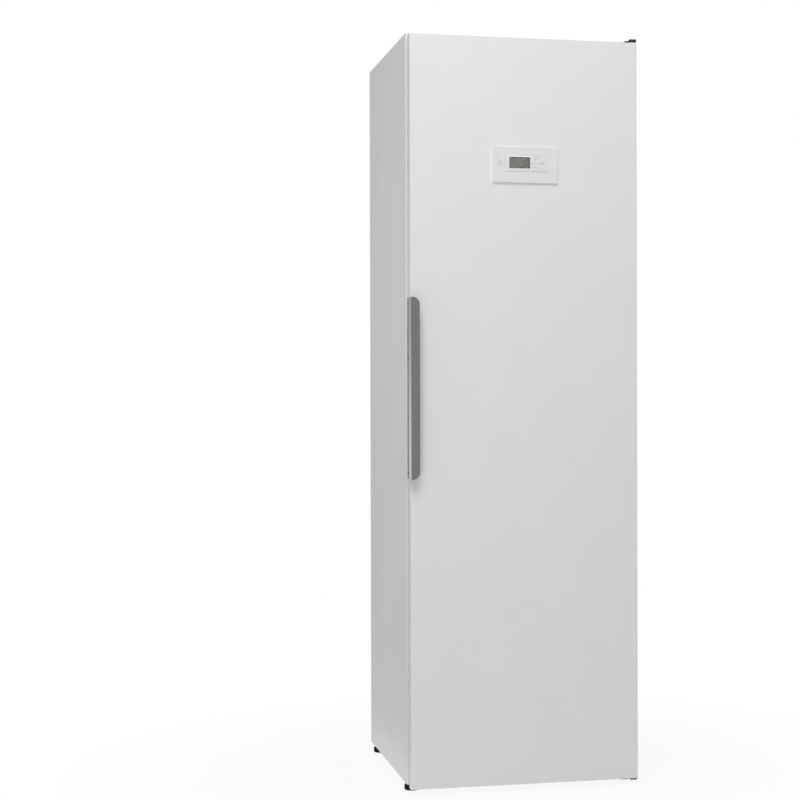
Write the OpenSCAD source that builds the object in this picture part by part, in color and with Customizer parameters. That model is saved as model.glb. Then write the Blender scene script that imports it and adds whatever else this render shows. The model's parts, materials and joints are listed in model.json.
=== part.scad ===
// Heat pump drying cabinet, full height, right-hand hinged door.
// Millimetres. X to the right, Y to the back, Z up; the floor is Z = 0 and the
// origin is the middle of the cabinet's footprint, handle included.

/* [Cabinet body] */
// Width of the body over its side panels
body_w = 595; // [560:5:715]
// Height of the body's top above the floor
body_h = 1895; // [1700:5:2280]
// Depth from the door's front face to the back of the body
depth = 610; // [580:5:735]
// Gap between the floor and the underside of the body
floor_gap = 21; // [20:1:30]
// Thickness of the outer sheet metal
sheet_t = 1; // [0.8:0.1:1.5]
// Thickness of the inner sheet metal
liner_t = 0.8; // [0.6:0.1:1.2]
// Outer radius of the body's front corners
corner_r = 4; // [3:0.5:6]
// Thickness of an insulated side wall, and width of the body's front flange
wall_t = 24; // [20:1:30]
// Depth of the return lip behind the front flange
lip_w = 18; // [12:1:20]
// Thickness of the insulated back wall
back_wall_t = 20; // [16:1:30]
// How far the rear panel lies inside the back of the body
rear_recess = 8; // [6:0.5:12]

/* [Door] */
// Thickness of the door
door_t = 28; // [26:1:36]
// Gap between the door and the body, which the gasket closes
door_gap = 8; // [7:0.5:10]
// How far the door's edges lie inside the body's sides
door_inset = 4; // [3:0.5:8]
// How far the door's top lies below the body's top
door_top_drop = 7; // [6:0.5:10]
// How far the door's bottom lies below the body's underside
door_bottom_drop = 6; // [4:0.5:6]
// Radius of the door's front corners
door_corner_r = 3; // [2:0.5:6]
// Radius of the hinge pins
pin_r = 4; // [3:0.5:5]
// Distance of the hinge pins from the body's right side
pin_inset = 13; // [10:0.5:14]
// Running clearance of the pins, shaft and studs, on the radius
run_fit = 0.06; // [0.02:0.01:0.1]

/* [Handle] */
// Length of the handle
handle_l = 450; // [300:10:600]
// Height of the handle's lower end above the floor
handle_z = 785; // [600:5:1000]
// Thickness of the handle's profile
handle_t = 2.5; // [2:0.1:4]
// Width of the handle's front leg
handle_w = 22; // [18:1:30]
// How far the handle's front face stands in front of the door
handle_proud = 28; // [22:1:40]
// Overlap of the handle's side leg and the door's edge
handle_grip_w = 26; // [20:1:28]
// Distance of the outer screws from the handle's ends
handle_screw_end = 15; // [10:1:40]

/* [Controls] */
// Width of the control plate
plate_w = 168; // [150:1:200]
// Height of the control plate
plate_h = 89; // [80:1:120]
// Height of the control plate's lower edge above the floor
plate_z = 1525; // [1300:5:1540]
// How far the control plate stands in front of the door
plate_t = 5; // [3:0.5:8]
// Width of the display module
module_w = 107; // [100:1:120]
// Height of the display module
module_h = 41; // [38:1:50]
// Width of the display window
window_w = 54; // [40:1:60]
// Height of the display window
window_h = 28; // [20:1:32]
// Diameter of the round power key
power_key_d = 13; // [10:0.5:18]
// Travel of the keys
key_travel = 0.8; // [0.4:0.1:1]
// Clearance around each key
key_fit = 0.25; // [0.15:0.05:0.4]

/* [Drying chamber] */
// Height of the chamber's floor above the ground
chamber_z = 62; // [60:1:80]
// Height of the machine compartment, from its deck to the body's top
machine_h = 396; // [390:5:480]
// Thickness of the insulation above the chamber
ceiling_t = 20; // [15:1:30]
// Depth of the air duct behind the chamber's back wall
duct_d = 32; // [30:1:40]
// Length of an air slot in the back wall
slot_l = 60; // [40:1:70]
// Width of an air slot in the back wall
slot_w = 8; // [5:1:12]

/* [Racks] */
// Length of a rack's rods
rack_l = 400; // [320:5:400]
// Number of rods on a rack
rod_count = 11; // [7:1:13]
// Distance between the rods
rod_pitch = 45; // [35:1:46]
// Radius of the rods
rod_r = 3; // [2.5:0.5:4]
// Radius of the bars that the rods are welded to
bar_r = 4; // [3.5:0.5:5]
// Distance from the top rack down to the middle one, and on to the lower one
rack_drop = 460; // [440:5:480]
// Distance from the chamber's ceiling down to the top rack
top_rack_drop = 57; // [50:1:70]
// Height of the shoe grid above the chamber's floor
shoe_grid_h = 60; // [40:5:90]
// Travel of the lint filter on its rails
filter_travel = 110; // [60:5:110]

/* [Machine] */
// Outer radius of the fan wheel
wheel_r = 78; // [70:1:94]
// Inner radius of the fan wheel's blades
blade_r = 62; // [56:1:64]
// Length of the fan wheel along its shaft
wheel_l = 52; // [40:1:56]
// Number of fan blades
blade_count = 30; // [20:1:36]
// Radius of the compressor's shell
compressor_r = 58; // [50:1:60]
// Height of the compressor's shell
compressor_h = 225; // [180:5:240]
// Length of the coils along their tubes
coil_w = 280; // [240:5:285]
// Height of the coils
coil_h = 200; // [160:5:220]
// Depth of a coil
coil_d = 44; // [36:1:44]
// Number of fins on a coil
fin_count = 21; // [13:2:31]

/* [Feet] */
// Radius of a levelling foot
foot_r = 19; // [15:1:22]
// Distance of a foot's centre from the body's sides
foot_inset = 19.5; // [17:0.5:30]
// How far a foot screws out
foot_travel = 15; // [8:1:15]

/* [Hidden] */
$fn = 48;
half_w = body_w / 2;
body_back = (depth + handle_proud) / 2;
door_front = body_back - depth;
door_back = door_front + door_t;
body_front = door_back + door_gap;
panel_y = body_back - rear_recess;
liner_back = panel_y - liner_t - back_wall_t - liner_t;
wall_y = liner_back - duct_d - liner_t;
chamber_x = half_w - wall_t - liner_t;
deck_z = body_h - machine_h;
ceiling_z = deck_z - ceiling_t - liner_t - sheet_t;
flange_h = 15;
rear_flange = 14;
seat_gap = 0.3;

// Door
door_x = half_w - door_inset;
door_z = floor_gap - door_bottom_drop;
door_top = body_h - door_top_drop;
door_h = door_top - door_z;
door_lip = 10;
inner_t = 1.5;
pin_x = half_w - pin_inset;
pin_y = door_front + door_t / 2;
bush_r = pin_r + 1.5;
bush_l = 22;
gasket_inset = 5;
gasket_w = 13;
gasket_bottom = floor_gap + 5;
bracket_t = 3;
arm_t = 2.4;
arm_gap = 2.4;
low_gap = 0.8;
top_arm_z = door_top + arm_gap;
low_arm_z = door_z - low_gap - arm_t;
arm_right = 9.5;
lug_gap = 3.8;
lug_w = 3.8;
lug_h = 3.1;

// Controls
module_x = 2;
module_z = plate_z + 28;
module_t = 1;
key_col_x = module_x + module_w / 2 - 29.5;
key_col_w = 15;
start_w = 22;
power_x = -65.5;
power_z = plate_z + 48;
window_x = module_x - module_w / 2 + 10 + window_w / 2;
board_y = door_front + 13;
board_t = 1.6;
module_depth = 11;
spacer_l = 3;
key_proud = 0.4;
dish_r = 30;
dish_d = 0.4;

// Racks
rack_z = [ceiling_z - top_rack_drop, ceiling_z - top_rack_drop - rack_drop,
     ceiling_z - top_rack_drop - 2 * rack_drop];
rack_y = wall_y - 16;
rack_x = (rod_count - 1) * rod_pitch / 2;
weld_z = rod_r + bar_r;
bracket_w = 12;
bracket_x = rack_x + rod_r + 1;

// Air circuit
air_x = 60;
air_w = 300;
air_l = 180;
air_y = body_front + 135;
filter_w = air_w - 6;
filter_t = 12;
rail_drop = 20;
tunnel_t = 4;
tunnel_x = coil_w / 2 + 22;
tunnel_h = coil_h + 40;
evaporator_y = air_y + air_l + 15;
condenser_y = evaporator_y + coil_d + 10;
tunnel_back = condenser_y + coil_d + 12;
tray_h = 16;
coil_z = deck_z + tray_h - 2;

// Fan
fan_y = tunnel_back + 1;
scroll_w = wheel_l + 14;
scroll_t = 2;
scroll_step = 8;
fan_z = deck_z + wheel_r + 3 * scroll_step + 20;
outlet_w = 70;
outlet_x = air_x + wheel_r + 3.5 * scroll_step;
motor_r = 34;
shaft_r = 4;

// Compressor and services
compressor_x = -half_w + 100;
compressor_y = 120;
mount_h = 22;
niche_w = 100;
niche_h = 80;
niche_d = 42;
niche_x = half_w - 78;
niche_z = deck_z + 46;
spigot_x = niche_x - 25;
gland_x = niche_x + 22;
spigot_r = 9;
spigot_l = 32;
collar_r = spigot_r + 1;
collar_l = 2;
service_z = niche_z + niche_h / 2;
pipe_r = 4;
tube_r = 4;
fin_t = 1;
socket_l = 1.2;
drain_r = 5.5;

// Base and feet
boss_r = 10;
stud_r = 5;
boss_top = floor_gap + 26;
foot_x = half_w - foot_inset;
front_foot_y = body_front + 40;
rear_foot_y = body_back - 45;

// ---------------------------------------------------------------- shared shapes

// Box between two opposite corners
module box(a, b) {
  translate(a)
    cube(b - a);
}

// Round bar along X, from its left end
module bar_x(l, r) {
  rotate([0, 90, 0])
    cylinder(r = r, h = l);
}

// Round bar along Y, from its front end
module bar_y(l, r) {
  rotate([-90, 0, 0])
    cylinder(r = r, h = l);
}

// Rectangle with round corners, centred
module round_rect(w, h, r) {
  square([w - 2 * r, h], center = true);
  square([w, h - 2 * r], center = true);
  for (x = [-1, 1], y = [-1, 1])
    translate([x * (w / 2 - r), y * (h / 2 - r)])
      circle(r = r);
}

// Plate with round corners that faces the front, its middle at the origin
module front_plate(w, h, t, r) {
  rotate([90, 0, 0])
    translate([0, 0, -t])
      linear_extrude(t)
        round_rect(w, h, r);
}

// Quarter of a bent sheet: the bend's outer radius r, sheet thickness t, in the corner at the origin
module bend(r, t) {
  translate([r, r])
    intersection() {
      difference() {
        circle(r = r);
        circle(r = r - t);
      }
      translate([-r, -r])
        square(r);
    }
}

// Round tube through a list of points, with round corners
module tube_path(points, r) {
  for (i = [0 : len(points) - 2]) {
    step = points[i + 1] - points[i];
    l = norm(step);
    translate(points[i])
      rotate([0, acos(step[2] / l), atan2(step[1], step[0])])
        cylinder(r = r, h = l);
  }
  for (i = [1 : len(points) - 2])
    translate(points[i])
      sphere(r = 1.06 * r);
}

// Copies its children to the right-hand side as well
module both_sides() {
  children();
  mirror([1, 0, 0])
    children();
}

// ---------------------------------------------------------------- cabinet body

// Left-hand side panel: front corner and flange with a return lip, stepped rear flange
module side_panel() {
  lips_z = floor_gap + 2 * flange_h;
  lips_h = body_h - floor_gap - 4 * flange_h;
  translate([-half_w, 0, floor_gap])
    linear_extrude(body_h - floor_gap) {
      translate([0, body_front])
        bend(corner_r, sheet_t);
      translate([corner_r, body_front])
        square([wall_t - corner_r, sheet_t]);
      translate([0, body_front + corner_r])
        square([sheet_t, depth - door_t - door_gap - corner_r]);
      translate([0, body_back - sheet_t])
        square([rear_flange, sheet_t]);
    }
  translate([-half_w, 0, lips_z])
    linear_extrude(lips_h) {
      translate([wall_t - sheet_t, body_front])
        square([sheet_t, lip_w]);
      translate([rear_flange - sheet_t, panel_y - liner_t - sheet_t])
        square([sheet_t, rear_recess + liner_t + sheet_t]);
      translate([rear_flange - sheet_t, panel_y - liner_t - sheet_t])
        square([rear_flange, sheet_t]);
    }
}

module left_side_panel() {
  color("gainsboro")
    side_panel();
}

module right_side_panel() {
  color("gainsboro")
    mirror([1, 0, 0])
      side_panel();
}

// Level sheet between the side panels, round at its front corners
module body_sheet() {
  x = half_w - sheet_t;
  y0 = body_front + sheet_t;
  linear_extrude(sheet_t) {
    translate([-x, y0 + corner_r])
      square([2 * x, body_back - sheet_t - y0 - corner_r]);
    translate([corner_r - x, y0])
      square([2 * (x - corner_r), 2 * corner_r]);
    for (sx = [-1, 1])
      translate([sx * (x - corner_r), y0 + corner_r])
        circle(r = corner_r);
  }
}

// Lid-shaped top panel between the side panels
module top_panel() {
  x = half_w - sheet_t;
  front = body_front + sheet_t;
  color("gainsboro") {
    translate([0, 0, body_h - sheet_t])
      body_sheet();
    box([wall_t - half_w, front, body_h - flange_h],
      [half_w - wall_t, front + sheet_t, body_h - sheet_t / 2]);
    box([rear_flange - half_w, body_back - sheet_t, body_h - flange_h],
      [half_w - rear_flange, body_back, body_h]);
    both_sides()
      box([-x, front + lip_w, body_h - flange_h],
        [sheet_t - x, body_back - 2 * lip_w, body_h - sheet_t / 2]);
  }
}

// Boss that takes a foot's stud
module foot_boss(x, y) {
  translate([x, y, floor_gap])
    cylinder(r = boss_r, h = boss_top - floor_gap);
}

// Base tray with upturned flanges, two cross ribs and the four foot bosses
module base_tray() {
  x = half_w - sheet_t;
  front = body_front + sheet_t;
  back = body_back - sheet_t;
  rib_top = chamber_z - liner_t - ceiling_t - seat_gap;
  color("silver")
    difference() {
      union() {
        translate([0, 0, floor_gap])
          body_sheet();
        both_sides()
          box([-x, front + lip_w, floor_gap], [sheet_t - x, back, floor_gap + flange_h]);
        box([rear_flange - half_w, back - sheet_t, floor_gap],
          [half_w - rear_flange, back, floor_gap + flange_h]);
        for (y = [front_foot_y + 80, rear_foot_y - 80])
          difference() {
            box([60 - half_w, y - 20, floor_gap], [half_w - 60, y + 20, rib_top]);
            box([59 - half_w, y - 18, floor_gap - 1],
              [half_w - 59, y + 18, rib_top - sheet_t]);
          }
        for (sx = [-1, 1], y = [front_foot_y, rear_foot_y])
          foot_boss(sx * foot_x, y);
      }
      for (sx = [-1, 1], y = [front_foot_y, rear_foot_y])
        translate([sx * foot_x, y, floor_gap - 1])
          cylinder(r = stud_r + run_fit, h = boss_top - floor_gap + 2);
    }
}

// Rear panel with pressed stiffening fields, louvre slots and the connection niche
module rear_panel() {
  x = half_w - rear_flange - 0.5;
  bottom = floor_gap + sheet_t + 1;
  top = body_h - sheet_t - 1;
  niche_y = panel_y - niche_d;
  field_h = 130;
  fields = floor((deck_z - bottom - 60) / (2 * field_h));
  pitch = (deck_z - bottom - 60) / fields;
  color("lightgray")
    difference() {
      union() {
        box([-x, panel_y - liner_t, bottom], [x, panel_y, top]);
        for (i = [0 : fields - 1])
          translate([0, panel_y, bottom + 60 + pitch * (i + 0.5)])
            front_plate(2 * x - 120, field_h, 3, 12);
        translate([niche_x, niche_y, niche_z + niche_h / 2])
          front_plate(niche_w, niche_h, niche_d, 8);
      }
      for (i = [0 : fields - 1])
        translate([0, panel_y - liner_t - 1, bottom + 60 + pitch * (i + 0.5)])
          front_plate(2 * x - 122, field_h - 2, 3 + 1, 11);
      translate([niche_x, niche_y + liner_t, niche_z + niche_h / 2])
        front_plate(niche_w - 2 * liner_t, niche_h - 2 * liner_t, niche_d, 8 - liner_t);
      for (i = [0 : 7])
        translate([compressor_x, panel_y - liner_t - 1, deck_z + 80 + 14 * i])
          front_plate(90, 5, 3, 2.4);
      translate([spigot_x, niche_y - 1, service_z])
        bar_y(liner_t + 2, collar_r + 0.4);
      translate([gland_x, niche_y - 1, service_z])
        bar_y(liner_t + 2, 8);
      for (p = rear_screw_points())
        translate([p[0], panel_y - liner_t - 1, p[1]])
          bar_y(liner_t + 2, 2.2);
    }
}

// Rails that close the front above the service panel and below the chamber
module front_rails() {
  x = half_w - wall_t;
  rail_z = body_h - 27;
  color("gainsboro") {
    // upper rail, with a ledge behind the service panel's edge
    box([-x, body_front, rail_z], [x, body_front + sheet_t, body_h]);
    box([sheet_t - x, body_front + sheet_t, rail_z - flange_h],
      [x - sheet_t, body_front + 2 * sheet_t, body_h - flange_h]);
    // lower rail, a channel open to the back
    box([-x, body_front, floor_gap], [x, body_front + sheet_t, chamber_z]);
    box([lip_w - x, body_front + sheet_t, chamber_z - liner_t - sheet_t],
      [x - lip_w, body_front + lip_w, chamber_z - liner_t]);
  }
}

// Side and rear sheets of the chamber and its duct
module chamber_liner() {
  color("whitesmoke") {
    both_sides()
      box([-chamber_x - liner_t, body_front + sheet_t, chamber_z],
        [-chamber_x, liner_back + liner_t, ceiling_z]);
    box([0.05 - chamber_x, liner_back, chamber_z],
      [chamber_x - 0.05, liner_back + liner_t, deck_z - sheet_t]);
  }
}

// Back wall with rows of air slots, standing in front of the duct
module chamber_back_wall() {
  rows = floor((ceiling_z - chamber_z - 120) / 95);
  pitch = (ceiling_z - chamber_z - 120) / rows;
  columns = floor((2 * chamber_x - 50) / (slot_l + 30));
  column_pitch = (2 * chamber_x - 50) / columns;
  color("white")
    difference() {
      union() {
        box([-chamber_x, wall_y, chamber_z], [chamber_x, wall_y + liner_t, ceiling_z]);
        both_sides()
          box([-chamber_x, wall_y, chamber_z],
            [liner_t - chamber_x, wall_y + 12, ceiling_z]);
        box([-chamber_x, wall_y, chamber_z],
          [chamber_x, liner_back, chamber_z + liner_t]);
      }
      for (i = [0 : rows - 1], j = [0 : columns - 1])
        translate([column_pitch * (j - (columns - 1) / 2), wall_y - 1,
             chamber_z + 60 + pitch * (i + 0.5)])
          front_plate(slot_l, slot_w, liner_t + 2, slot_w / 2 - 0.1);
    }
}

// Chamber floor, the side sheets standing on it
module chamber_floor() {
  color("whitesmoke")
    box([-chamber_x - liner_t, body_front + sheet_t, chamber_z - liner_t],
      [chamber_x + liner_t, liner_back + liner_t, chamber_z]);
}

// Chamber ceiling with the air return opening and the two filter rails below it
module chamber_ceiling() {
  x0 = air_x - air_w / 2;
  x1 = air_x + air_w / 2;
  rail_front = air_y - filter_travel;
  rail_back = air_y + air_l + 14;
  color("whitesmoke")
    difference() {
      union() {
        box([-chamber_x - liner_t, body_front + sheet_t, ceiling_z],
          [chamber_x + liner_t, wall_y + liner_t, ceiling_z + liner_t]);
        // rails: a hanger each side, folded in under the filter
        box([x0 - liner_t, rail_front, ceiling_z - rail_drop],
          [x0, rail_back, ceiling_z + liner_t / 2]);
        box([x0 - liner_t, rail_front, ceiling_z - rail_drop],
          [x0 + 10, rail_back, ceiling_z - rail_drop + liner_t]);
        box([x1, rail_front, ceiling_z - rail_drop],
          [x1 + liner_t, rail_back, ceiling_z + liner_t / 2]);
        box([x1 - 10, rail_front, ceiling_z - rail_drop],
          [x1 + liner_t, rail_back, ceiling_z - rail_drop + liner_t]);
      }
      box([x0 + 12, air_y + 8, ceiling_z - 1], [x1 - 12, air_y + air_l - 8, ceiling_z + 2]);
    }
}

// Foam in the walls, under the floor and over the ceiling
module wall_insulation() {
  side_x = half_w - sheet_t;
  color("khaki") {
    both_sides()
      box([-side_x, body_front + lip_w + 1, chamber_z],
        [-chamber_x - liner_t, liner_back, deck_z - 20]);
    box([-chamber_x, liner_back + liner_t, chamber_z],
      [chamber_x, panel_y - liner_t - sheet_t, deck_z - 20]);
    box([boss_r + 1 - foot_x, body_front + lip_w + 1, chamber_z - liner_t - ceiling_t],
      [foot_x - boss_r - 1, liner_back, chamber_z - liner_t]);
    difference() {
      box([-chamber_x, body_front + lip_w + 1, ceiling_z + liner_t],
        [chamber_x, wall_y, deck_z - sheet_t]);
      // air return, and the way from the fan's outlet back to the duct
      box([air_x - air_w / 2, air_y, ceiling_z],
        [air_x + air_w / 2, air_y + air_l, deck_z + 1]);
      box([outlet_x - outlet_w, fan_y, ceiling_z], [outlet_x, wall_y + 1, deck_z + 1]);
    }
  }
}

// Deck of the machine compartment with the air openings and a folded front edge
module machine_deck() {
  x = half_w - wall_t;
  side_x = half_w - sheet_t;
  color("silver")
    difference() {
      union() {
        box([-side_x, body_front + lip_w + 1, deck_z - sheet_t],
          [side_x, panel_y - liner_t - sheet_t, deck_z]);
        box([sheet_t - x, body_front + sheet_t, deck_z - sheet_t],
          [x - sheet_t, body_front + lip_w + 2, deck_z]);
        box([-x, body_front, ceiling_z], [x, body_front + sheet_t, deck_z]);
        box([sheet_t - x, body_front + sheet_t, deck_z - sheet_t],
          [x - sheet_t, body_front + 2 * sheet_t, deck_z + flange_h]);
        both_sides()
          box([-side_x, body_front + lip_w + 1, deck_z - 20],
            [sheet_t - side_x, panel_y - 2 * liner_t - sheet_t, deck_z - sheet_t / 2]);
      }
      box([air_x - air_w / 2, air_y, deck_z - 2], [air_x + air_w / 2, air_y + air_l, deck_z + 1]);
      box([outlet_x - outlet_w, fan_y + scroll_t, deck_z - 2],
        [outlet_x, fan_y + scroll_w - scroll_t, deck_z + 1]);
    }
}

// Places of the service panel's screws, as [x, z]
function service_screw_points() =
  [for (sx = [-1, 0, 1], z = [deck_z + 8, body_h - 27 - 8]) [sx * (half_w - wall_t - 20), z]];

// Places of the rear panel's screws, as [x, z]
function rear_screw_points() =
  [for (sx = [-1, 1], i = [0 : 5])
    [sx * (half_w - rear_flange - 7), floor_gap + 60 + i * (body_h - floor_gap - 140) / 5]];

// Flat cover of the machine compartment, behind the door
module service_panel() {
  x = half_w - wall_t - 0.5;
  color("gainsboro")
    difference() {
      union() {
        box([-x, body_front, deck_z + 0.5], [x, body_front + sheet_t, body_h - 27.5]);
        box([-x + 3, body_front, deck_z + flange_h + 2],
          [sheet_t + 3 - x, body_front + 12, body_h - 27 - flange_h - 2]);
        box([x - 3 - sheet_t, body_front, deck_z + flange_h + 2],
          [x - 3, body_front + 12, body_h - 27 - flange_h - 2]);
      }
      for (p = service_screw_points())
        translate([p[0], body_front - 1, p[1]])
          bar_y(sheet_t + 2, 2.2);
    }
}

// Screws of the service panel and the rear panel
module panel_screws() {
  color("silver") {
    for (p = service_screw_points())
      translate([p[0], body_front, p[1]])
        difference() {
          translate([0, -1.8, 0])
            bar_y(1.8, 4);
          translate([0, -2, 0])
            rotate([-90, 0, 0])
              cylinder(r = 2, h = 1, $fn = 6);
        }
    for (p = rear_screw_points())
      translate([p[0], panel_y, p[1]])
        difference() {
          bar_y(1.8, 4);
          translate([0, 1, 0])
            rotate([-90, 0, 0])
              cylinder(r = 2, h = 1, $fn = 6);
        }
  }
}

// ---------------------------------------------------------------- racks

// Rack of straight rods welded on two bars, with a stop bar in front, its rear bar at height z
module rack(z) {
  color("white")
    translate([0, rack_y, z]) {
      for (i = [0 : rod_count - 1])
        translate([i * rod_pitch - rack_x, -rack_l, weld_z])
          bar_y(rack_l + bar_r, rod_r);
      translate([-bracket_x - bracket_w + 2, 0, 0])
        bar_x(2 * (bracket_x + bracket_w - 2), bar_r);
      translate([-rack_x - 8, -rack_l * 0.55, 0])
        bar_x(2 * rack_x + 16, bar_r);
      translate([-rack_x - 8, -rack_l + bar_r, 2 * weld_z])
        bar_x(2 * rack_x + 16, bar_r);
    }
}

module top_rack() {
  rack(rack_z[0]);
}

module middle_rack() {
  rack(rack_z[1]);
}

module lower_rack() {
  rack(rack_z[2]);
}

// Plastic bracket: a block on the back wall with the rack's bearing bore and a stop arm below the outer rod
module rack_bracket() {
  difference() {
    union() {
      box([bracket_x, rack_y - 8, -14], [bracket_x + bracket_w, wall_y, 10]);
      box([bracket_x - 9, rack_y - 34, -8], [bracket_x + bracket_w, rack_y - 8, bar_r - seat_gap]);
    }
    translate([bracket_x - 1, rack_y, 0])
      bar_x(bracket_w + 2, bar_r + run_fit);
  }
}

module rack_brackets() {
  color("dimgray")
    for (z = rack_z)
      translate([0, 0, z])
        both_sides()
          rack_bracket();
}

// Free-standing grid for shoes on the chamber's floor
module shoe_grid() {
  l = 300;
  y = wall_y - 20 - l;
  z = chamber_z + shoe_grid_h;
  color("white") {
    for (i = [0 : rod_count - 1])
      translate([i * rod_pitch - rack_x, y, z + weld_z])
        bar_y(l, rod_r);
    for (dy = [40, l - 40])
      translate([-rack_x - 8, y + dy, z])
        bar_x(2 * rack_x + 16, bar_r);
    for (sx = [-1, 1], dy = [40, l - 40])
      translate([sx * (rack_x - rod_pitch / 2), y + dy, chamber_z])
        cylinder(r = bar_r, h = z - chamber_z - bar_r);
  }
}

// ---------------------------------------------------------------- machine

// Hermetic compressor: welded shell with domed ends, base plate, accumulator and terminal cover
module compressor() {
  z = deck_z + mount_h;
  dome = 24;
  color("black") {
    translate([compressor_x, compressor_y, z]) {
      // shell with round shoulders
      rotate_extrude()
        intersection() {
          union() {
            translate([0, 4])
              square([compressor_r, compressor_h - dome - 4]);
            translate([0, compressor_h - dome])
              square([compressor_r - dome, dome]);
            translate([compressor_r - dome, compressor_h - dome])
              circle(r = dome);
          }
          square([compressor_r, compressor_h]);
        }
      // triangular base plate
      difference() {
        linear_extrude(4)
          union() {
            circle(r = compressor_r + 6);
            for (a = [30, 150, 270])
              rotate(a)
                translate([0, -12])
                  square([compressor_r + 24, 24]);
          }
        for (a = [30, 150, 270])
          rotate(a)
            translate([compressor_r + 14, 0, -1])
              cylinder(r = 5.3, h = 6);
      }
      // terminal cover
      translate([0, 0, compressor_h - 1])
        cylinder(r = 22, h = 18);
      // suction accumulator on a strap
      translate([0, -compressor_r - 24, 40])
        cylinder(r = 22, h = 130);
      box([-10, -compressor_r - 6, 100], [10, 3 - compressor_r, 112]);
    }
  }
}

// Rubber mounts with a sleeve through each, standing on the deck
module compressor_mounts() {
  color("dimgray")
    translate([compressor_x, compressor_y, deck_z])
      for (a = [30, 150, 270])
        rotate(a)
          translate([compressor_r + 14, 0, 0]) {
            cylinder(r = 11, h = mount_h);
            cylinder(r = 5, h = mount_h + 10);
            translate([0, 0, mount_h + 4.3])
              cylinder(r = 9, h = 5);
          }
}

// Half-round tube bend with sockets, centred on its own bend radius
module return_bend(bend_r) {
  rotate_extrude(angle = 180)
    translate([bend_r, 0])
      circle(r = tube_r + 0.5);
}

// Fin-and-tube coil: a row of fins on straight tubes, with return bends at both ends
module coil(y) {
  rows = 2;
  levels = 6;
  level_h = coil_h / levels;
  fin_pitch = (coil_w - 20) / (fin_count - 1);
  translate([air_x, y, coil_z]) {
    for (i = [0 : fin_count - 1])
      translate([i * fin_pitch - coil_w / 2 + 10 - fin_t / 2, 0, 0])
        rotate([90, 0, 90])
          linear_extrude(fin_t)
            difference() {
              square([coil_d, coil_h]);
              for (r = [0 : rows - 1], l = [0 : levels - 1])
                translate([coil_d * (r + 0.5) / rows, level_h * (l + 0.5)])
                  circle(r = tube_r + 0.1);
            }
    // each tube reaches a little way into the sockets of its bends
    for (r = [0 : rows - 1], l = [0 : levels - 1])
      translate([-coil_w / 2 - socket_l, coil_d * (r + 0.5) / rows, level_h * (l + 0.5)])
        bar_x(coil_w + 2 * socket_l, tube_r);
    // return bends join the tubes of a level at the left and of neighbouring levels at the right
    for (l = [0 : levels - 1])
      translate([-coil_w / 2, coil_d / 2, level_h * (l + 0.5)])
        rotate([0, 0, 90])
          return_bend(coil_d / 4);
    for (l = [0 : levels - 2])
      translate([coil_w / 2, coil_d * (l % 2 == 0 ? 0.75 : 0.25), level_h * (l + 1)])
        rotate([90, 0, 0])
          rotate([0, 0, -90])
            return_bend(level_h / 2);
  }
}

module evaporator_coil() {
  color("lightsteelblue")
    coil(evaporator_y);
}

module condenser_coil() {
  color("peru")
    coil(condenser_y);
}

// Copper pipes: compressor to condenser, condenser to drier, drier to evaporator, evaporator back
module refrigerant_pipes() {
  low = coil_z + coil_h / 12;
  high = coil_z + coil_h * 11 / 12;
  // the pipes start at the coils' tube ends and run down the tunnel's right side
  right = air_x + coil_w / 2 + socket_l;
  side = air_x + coil_w / 2 + 30;
  ev_y = evaporator_y + coil_d * 0.25;
  co_y = condenser_y + coil_d * 0.25;
  shell_top = deck_z + mount_h + compressor_h;
  top = shell_top + 34;
  run_z = deck_z + tunnel_h + 50;
  color("peru") {
    // hot gas pipe over the tunnel to the condenser's upper end
    tube_path([[compressor_x + 29, compressor_y, shell_top],
         [compressor_x + 29, compressor_y, top],
         [compressor_x + 29, co_y, top],
         [side, co_y, top],
         [side, co_y, high],
         [right, co_y, high]], pipe_r);
    // liquid pipe from the condenser's lower end to the drier
    tube_path([[right, co_y, low],
         [side, co_y, low],
         [side, ev_y + 10, low],
         [side, ev_y + 10, low + 30]], pipe_r);
    // thin capillary from the drier to the evaporator's lower end
    tube_path([[side, ev_y + 10, low + 130],
         [side, ev_y + 10, low + 150],
         [side, ev_y - 30, low + 150],
         [side, ev_y - 30, low],
         [side, ev_y, low],
         [right, ev_y, low]], 2);
    // suction pipe from the evaporator's upper end back to the accumulator
    tube_path([[right, ev_y, high],
         [side, ev_y, high],
         [side, ev_y, run_z],
         [compressor_x, ev_y, run_z],
         [compressor_x, compressor_y - compressor_r - 24, run_z],
         [compressor_x, compressor_y - compressor_r - 24, deck_z + mount_h + 170]], pipe_r);
  }
}

// Copper filter drier in the liquid line
module filter_drier() {
  low = coil_z + coil_h / 12;
  right = air_x + coil_w / 2;
  ev_y = evaporator_y + coil_d * 0.25;
  color("chocolate")
    translate([right + 30, ev_y + 10, low + 30])
      rotate_extrude()
        polygon([[0, 0], [4.5, 0], [10, 12], [10, 88], [4.5, 100], [0, 100]]);
}

// Cover that leads the air from the chamber through both coils to the fan
module air_tunnel() {
  x0 = air_x - tunnel_x;
  x1 = air_x + tunnel_x;
  y0 = air_y - 6;
  z1 = deck_z + tunnel_h;
  color("lightgray")
    difference() {
      box([x0, y0, deck_z], [x1, tunnel_back, z1]);
      box([x0 + tunnel_t, y0 + tunnel_t, deck_z - 1],
        [x1 - tunnel_t, tunnel_back - tunnel_t, z1 - tunnel_t]);
      // inlet of the fan
      translate([air_x, tunnel_back - tunnel_t - 1, fan_z])
        bar_y(tunnel_t + 2, blade_r);
      // slots for the pipes at the right and the tray's outlet
      box([x1 - tunnel_t - 1, evaporator_y - 2, deck_z - 1],
        [x1 + 1, condenser_y + coil_d + 2, deck_z + tray_h + coil_h + 2]);
    }
}

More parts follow.
